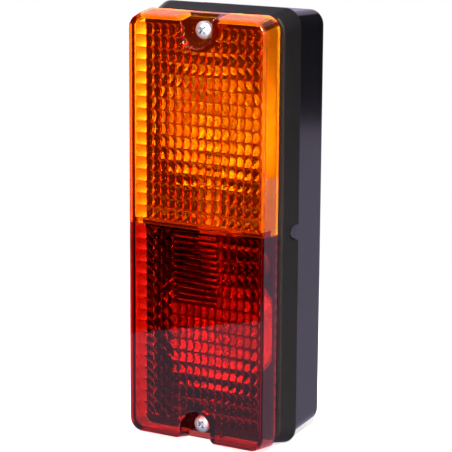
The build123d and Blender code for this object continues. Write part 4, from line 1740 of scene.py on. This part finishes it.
@dataclass
class Housing:
    """Moulded housing: a drafted cup with a spigot, posts inside and the fittings of its back."""

    corner: float = 6.8 * MM
    draft: float = radians(2.6)
    back_edge: float = 1.5 * MM
    shoulder: float = -28.0 * MM
    spigot_end: float = -36.2 * MM
    spigot_step: float = 1.0 * MM
    mouth_inset: float = 3.6 * MM
    mouth_corner: float = 3.2 * MM
    back_wall: float = 2.5 * MM
    lug_width: float = 5.6 * MM
    lug_length: float = 4.0 * MM
    rib: float = 1.6 * MM
    rib_gap: float = 0.8 * MM
    rib_height: float = 2.95 * MM
    rib_inner: float = 27.2 * MM
    rib_outer: float = 32.5 * MM
    stud_height: float = 60.0 * MM
    stud_hole: float = 3.6 * MM
    stud_pocket: float = 5.7 * MM
    stud_floor: float = 3.6 * MM
    grommet_height: float = -24.0 * MM
    grommet_hole: float = 5.7 * MM
    grommet_seat: float = 8.1 * MM
    grommet_sink: float = 1.6 * MM
    bracket_reach: float = 15.0 * MM
    screw_height: float = 89.1 * MM
    light_height: float = 46.5 * MM
    bracket_post: Post = Post(3.4 * MM, 4.5 * MM, 1.35 * MM, 3.1 * MM)
    lens_post: Post = Post(3.8 * MM, 44.5 * MM, 2.1 * MM, 22.0 * MM)
    dish_post: Post = Post(4.5 * MM, 15.7 * MM, 1.35 * MM, 3.1 * MM)
    stud_post: Post = Post(8.0 * MM, 7.6 * MM, 3.0 * MM, 1.0 * MM)
    grommet_post: Post = Post(10.6 * MM, 4.1 * MM, 5.0 * MM, 1.0 * MM)
    edge_sides: int = 5
    sides: int = 8
    spare: float = 2.0 * MM
    overlap: float = 0.5 * MM
    box: Span = box_of("rear_housing")

    def _cup(self) -> Object:
        """Make the drafted cup with its spigot and lugs.

        Returns:
            The cup.
        """
        half = (self.box.high.x, self.box.high.z)
        cup = Bench.slab("housing_moulding", half, self.corner, self.shoulder, 0.0, self.sides)
        shrink = self.shoulder * tan(self.draft)
        Bench.spread(cup, 0.0, half, (shrink, shrink))
        Bench.round_edges(cup, self.back_edge, self.edge_sides, lambda edge: Bench.at_depth(edge, 0.0))
        step = self.spigot_step
        half = (self.box.high.x - step, self.box.high.z - step)
        back = self.shoulder + self.overlap
        spigot = Bench.slab("spigot", half, self.corner - step, self.spigot_end, back, self.sides)
        Bench.carve(cup, spigot, Cut.ADD)
        nose = self.shoulder - self.lug_length
        lug = Bench.tongue("lug", self.lug_width, nose, back, self.box.high.x, self.sides)
        Bench.carve(cup, lug, Cut.ADD)
        half = (self.box.high.x - self.mouth_inset, self.box.high.z - self.mouth_inset)
        floor, mouth = -self.back_wall, self.spigot_end - self.spare
        cavity = Bench.slab("cavity", half, self.mouth_corner, mouth, floor, self.sides)
        shrink = (self.spigot_end - floor) * tan(self.draft)
        Bench.spread(cavity, floor, half, (shrink, shrink))
        Bench.carve(cup, cavity, Cut.TAKE)
        return cup

    def _posts(self) -> list[tuple[Post, float, float]]:
        """Give the posts for the bracket, the lens, the dishes, the studs and the grommet.

        Returns:
            Each post with the place of its axis across the lamp and its height.
        """
        posts = [(self.bracket_post, side * self.bracket_reach, 0.0) for side in (-1, 1)]
        for half in Half:
            posts.append((self.lens_post, 0.0, half.value * self.screw_height))
            posts.append((self.dish_post, 0.0, half.value * self.light_height))
            posts.append((self.stud_post, 0.0, half.value * self.stud_height))
        return posts + [(self.grommet_post, 0.0, self.grommet_height)]

    @staticmethod
    def _drill(
        cup: Object, radius: float, z: float, ends: tuple[float, float], sides: int
    ) -> None:
        """Cut one straight hole.

        Args:
            cup: the housing.
            radius: radius of the hole.
            z: height of its axis.
            ends: forward distances between which it runs.
            sides: number of its sides.
        """
        tool = Bench.bar("drill", radius, ends, Axis.FORWARD, (0, 0, z), sides)
        if sides == HEXAGON:
            Bench.spin(tool, (0, 0, z), pi / HEXAGON)
        Bench.carve(cup, tool, Cut.TAKE)

    def build(self, wardrobe: Wardrobe, finish: Skin) -> None:
        """Make, dress and place the housing.

        Args:
            wardrobe: gives pieces their finish.
            finish: finish of the housing.
        """
        cup = self._cup()
        root, round_sides, far = self.back_wall / 2, 4 * self.sides, -self.shoulder
        for post, x, z in self._posts():
            Bench.carve(cup, post.make(x, z, root, round_sides), Cut.ADD)
        for side in (-1, 1):
            for level in (-1, 1):
                left, right = sorted((side * self.rib_inner, side * self.rib_outer))
                low, high = sorted((level * self.rib_gap, level * (self.rib_gap + self.rib)))
                low, high = low + self.rib_height, high + self.rib_height
                rib = Bench.block("rib", (left, self.shoulder, low), (right, -root, high))
                Bench.carve(cup, rib, Cut.ADD)
        for half in Half:
            height = half.value * self.stud_height
            self._drill(cup, self.stud_hole, height, (-self.spare, far), round_sides)
            self._drill(cup, self.stud_pocket, height, (self.stud_floor, far), HEXAGON)
        height, sink = self.grommet_height, self.grommet_sink
        self._drill(cup, self.grommet_hole, height, (-self.spare, far), round_sides)
        self._drill(cup, self.grommet_seat, height, (-self.spare, sink), round_sides)
        finish_piece(Bench.close(cup), wardrobe, finish, "housing_plastic", SMOOTH, "rear_housing")


@dataclass
class Grommet:
    """Rubber cable inlet with a soft-edged flange on either side of the housing's wall."""

    bore: float = 3.5 * MM
    neck: float = 5.6 * MM
    flange: float = 8.0 * MM
    thick: float = 1.6 * MM
    soft: float = 0.4 * MM
    smooth_angle: float = radians(50)
    sides: int = 40
    box: Span = box_of("cable_grommet")

    def build(self, wardrobe: Wardrobe, finish: Skin) -> None:
        """Make, dress and place the grommet.

        Args:
            wardrobe: gives pieces their finish.
            finish: finish of the grommet.
        """
        soft, far = self.soft, self.box.size.y
        rounded = self.flange - soft
        line = [(self.bore, soft), (self.bore + soft, 0), (rounded, 0), (self.flange, soft)]
        line += [(self.flange, self.thick - soft), (rounded, self.thick), (self.neck, self.thick)]
        line += [(radius, far - height) for radius, height in reversed(line)]
        place = (0, self.box.high.y, self.box.middle.z)
        inlet = Bench.lathe("cable_inlet", line, Axis.FORWARD, place, self.sides)
        finish_piece(inlet, wardrobe, finish, "grommet_rubber", self.smooth_angle, "cable_grommet")


@dataclass(frozen=True)
class Lamp:
    """Soft square studio lamp, narrowed to a spread if given."""

    name: str
    place: tuple[float, float, float]
    aim: tuple[float, float, float]
    size: float
    power: float
    spread: float = pi

    def hang(self) -> None:
        """Hang the lamp and turn it to its aim."""
        data = bpy.data.lights.new(self.name, "AREA")
        data.shape, data.size, data.energy, data.spread = "SQUARE", self.size, self.power, self.spread
        lamp = bpy.data.objects.new(self.name, data)
        bpy.context.scene.collection.objects.link(lamp)
        lamp.location = self.place
        lamp.rotation_euler = (Vector(self.aim) - Vector(self.place)).to_track_quat("-Z", "Y").to_euler()


@dataclass(frozen=True)
class Flag:
    """Black flag between two floor points, seen in mirrors, and through glass if asked."""

    name: str
    start: tuple[float, float]
    end: tuple[float, float]
    height: float
    through: bool

    def stand(self, floor: float, black: Material) -> None:
        """Stand the flag on the floor.

        Args:
            floor: height of the floor.
            black: material of the flag.
        """
        across, deep = (far - near for near, far in zip(self.start, self.end))
        x, y = ((near + far) / 2 for near, far in zip(self.start, self.end))
        middle = (x, y, floor + self.height / 2)
        Bench.clear()
        bpy.ops.mesh.primitive_plane_add(size=1, location=middle, rotation=(pi / 2, 0, atan2(deep, across)))
        flag = bpy.context.object
        flag.name = self.name
        flag.scale = (hypot(across, deep), self.height, 1)
        Bench.settle(flag)
        flag.data.materials.append(black)
        flag.visible_camera = flag.visible_diffuse = flag.visible_shadow = False
        flag.visible_transmission = self.through
        flag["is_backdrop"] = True


@dataclass
class Studio:
    """Camera, lamps, floor and background of the picture."""

    position: Vector = field(default_factory=lambda: Vector((446.4, -805.35, 193.3)) * MM)
    azimuth: float = radians(29.886)
    elevation: float = radians(12.264)
    roll: float = radians(0.36)
    lens: float = 162.0
    sensor: float = 36.0
    floor_reach: float = 6.0
    shadow_reach: tuple[float, float] = (0.12, 0.5)
    shadow_floor: float = 0.72
    white: Colour = Colour(1.0, 1.0, 1.0)
    pale: Colour = Colour(0.9, 0.9, 0.9)
    black: Colour = Colour(0.001, 0.001, 0.001)
    room: Colour = Colour(0.53, 0.46, 0.65)
    ambient: float = 0.2
    lamps: tuple[Lamp, ...] = (
        Lamp("key lamp", (0.08, -0.98, 0.28), (0, 0, 0.08), 0.35, 2.5, radians(34)),
        Lamp("top lamp", (-0.1, -0.25, 0.85), (0, 0, 0), 0.7, 1.5),
        Lamp("left lamp", (-0.85, 0.45, 0.35), (0, 0, 0), 0.5, 9.0),
        Lamp("right lamp", (0.9, -0.5, 0.35), (0, 0, 0), 0.5, 1.2),
        Lamp("low lamp", (0.42, -0.7, 0.64), (0, -0.04, -0.07), 0.2, 2.3, radians(16)),
    )
    flags: tuple[Flag, ...] = (
        Flag("front flag", (-0.184, -0.143), (0.054, -0.426), 0.26, True),
        Flag("right flag", (0.09, -0.34), (0.345, -0.06), 0.26, True),
        Flag("side flag", (0.34, 0.535), (0.55, 0.392), 0.3, False),
        Flag("far flag", (0.0, 0.96), (0.6, 0.688), 0.75, False),
    )

    def build(self) -> None:
        """Set up the whole picture."""
        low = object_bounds()[0].z
        self._camera()
        for lamp in self.lamps:
            lamp.hang()
        self._floor(low)
        black = self._flag_black()
        for flag in self.flags:
            flag.stand(low, black)
        self._world()
        bpy.context.scene.view_settings.view_transform = "Standard"

    def _camera(self) -> None:
        """Stand the camera where the photograph was taken."""
        flat = cos(self.elevation)
        ahead = Vector((-sin(self.azimuth) * flat, cos(self.azimuth) * flat, -sin(self.elevation)))
        level = Vector((cos(self.azimuth), sin(self.azimuth), 0))
        above = level.cross(ahead)
        right = cos(self.roll) * level + sin(self.roll) * above
        up = cos(self.roll) * above - sin(self.roll) * level
        data = bpy.data.cameras.new("camera")
        data.lens, data.sensor_width = self.lens, self.sensor
        camera = bpy.data.objects.new("camera", data)
        bpy.context.scene.collection.objects.link(camera)
        camera.location = self.position
        camera.rotation_euler = Matrix((right, up, -ahead)).transposed().to_euler()
        bpy.context.scene.camera = camera

    def _seen_colour(self, sheet: Sheet, path: Node) -> Node:
        """Give white to the camera and the cool dim room to mirrors.

        Args:
            sheet: sheet of the floor or the world.
            path: its light path node.

        Returns:
            The mix node that gives that colour.
        """
        mix = sheet.add("ShaderNodeMix", data_type="RGBA")
        mix.inputs[MIX_A].default_value = self.room.rgba
        mix.inputs[MIX_B].default_value = self.white.rgba
        sheet.wire((path, "Is Camera Ray", mix, "Factor"))
        return mix

    def _floor(self, low: float) -> None:
        """Lay the pale floor, which is white in the picture and keeps the lamp's shadow.

        Args:
            low: height of the floor.
        """
        Bench.clear()
        bpy.ops.mesh.primitive_plane_add(size=2 * self.floor_reach, location=(0, 0, low))
        floor = bpy.context.object
        floor.name = "floor"
        Bench.settle(floor)
        material, sheet = Sheet.of_material("floor white")
        out = sheet.add("ShaderNodeOutputMaterial")
        shader = sheet.add("ShaderNodeBsdfDiffuse", Color=self.pale.rgba)
        glow = sheet.add("ShaderNodeEmission", Strength=1.0)
        path = sheet.add("ShaderNodeLightPath")
        place = sheet.add("ShaderNodeTexCoord")
        away = sheet.add("ShaderNodeVectorMath", operation="LENGTH")
        fade = sheet.add("ShaderNodeMapRange")
        values = (*self.shadow_reach, self.shadow_floor)
        for socket, value in zip(("From Min", "From Max", "To Min"), values):
            fade.inputs[socket].default_value = value
        seen = sheet.add("ShaderNodeMath", operation="MULTIPLY")
        any_of = sheet.add("ShaderNodeMath", operation="MAXIMUM")
        mix = sheet.add("ShaderNodeMixShader")
        room = self._seen_colour(sheet, path)
        sheet.wire(
            (place, "Object", away, 0),
            (away, "Value", fade, "Value"),
            (fade, "Result", seen, 0),
            (path, "Is Camera Ray", seen, 1),
            (seen, 0, any_of, 0),
            (path, "Is Glossy Ray", any_of, 1),
            (any_of, 0, mix, "Fac"),
            (room, MIX_RESULT, glow, "Color"),
            (shader, "BSDF", mix, 1),
            (glow, "Emission", mix, 2),
            (mix, "Shader", out, "Surface"),
        )
        floor.data.materials.append(material)
        floor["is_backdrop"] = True

    def _flag_black(self) -> Material:
        """Make the material of the flags.

        Returns:
            The material.
        """
        material, sheet = Sheet.of_material("flag black")
        out = sheet.add("ShaderNodeOutputMaterial")
        shader = sheet.add("ShaderNodeBsdfDiffuse", Color=self.black.rgba)
        sheet.wire((shader, "BSDF", out, "Surface"))
        return material

    def _world(self) -> None:
        """Make the background white, the mirrored room cool and the ambient light even."""
        world = bpy.data.worlds.new("studio")
        bpy.context.scene.world = world
        world.use_nodes = True
        sheet = Sheet(world.node_tree)
        out = sheet.add("ShaderNodeOutputWorld")
        seen = sheet.add("ShaderNodeBackground", Strength=1.0)
        soft = sheet.add("ShaderNodeBackground", Color=self.white.rgba, Strength=self.ambient)
        path = sheet.add("ShaderNodeLightPath")
        any_of = sheet.add("ShaderNodeMath", operation="MAXIMUM")
        mix = sheet.add("ShaderNodeMixShader")
        room = self._seen_colour(sheet, path)
        sheet.wire(
            (path, "Is Camera Ray", any_of, 0),
            (path, "Is Glossy Ray", any_of, 1),
            (room, MIX_RESULT, seen, "Color"),
            (any_of, 0, mix, "Fac"),
            (soft, "Background", mix, 1),
            (seen, "Background", mix, 2),
            (mix, "Shader", out, "Surface"),
        )


@dataclass
class CarriedNodes:
    """CAD nodes that are shown as they are, each with its finish."""

    finishes: Finishes

    def dress(self, wardrobe: Wardrobe) -> None:
        """Dress every carried node.

        Args:
            wardrobe: gives pieces their finish.
        """
        finish = self.finishes
        by_node = {
            "reflector_screws": finish.zinc,
            "chamber_divider": finish.divider,
            "holder_bracket": finish.sheet_steel,
            "bracket_screws": finish.zinc,
            "contact_carrier": finish.laminate,
            "indicator_contact": finish.brass,
            "stop_contact": finish.brass,
            "tail_contact": finish.brass,
            "indicator_socket": finish.sheet_steel,
            "stop_tail_socket": finish.sheet_steel,
            "indicator_bulb_cap": finish.nickel,
            "stop_tail_bulb_cap": finish.nickel,
            "indicator_bulb_insulator": finish.base,
            "stop_tail_bulb_insulator": finish.base,
            "indicator_bulb_filament": finish.wire,
            "stop_tail_bulb_filaments": finish.wire,
        }
        for node, look in by_node.items():
            wardrobe.dress(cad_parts[node], look)
            log.info("%s: %s", node, look.name)


def main() -> None:
    """Build every piece, dress it and set up the picture."""
    logging.basicConfig(level=logging.INFO, format="%(name)s %(message)s")
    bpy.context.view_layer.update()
    wardrobe = Wardrobe()
    finishes = Finishes()
    CarriedNodes(finishes).dress(wardrobe)
    Lens().build(wardrobe, finishes)
    LensScrews().build(wardrobe, finishes.zinc)
    Dishes().build(wardrobe, finishes.dish)
    BulbGlasses().build(wardrobe, finishes.bulb_glass)
    Studs().build(wardrobe, finishes.zinc)
    Rim().build(wardrobe, finishes.rubber)
    Housing().build(wardrobe, finishes.housing)
    Grommet().build(wardrobe, finishes.grommet)
    Studio().build()


if __name__ == "__main__":
    main()
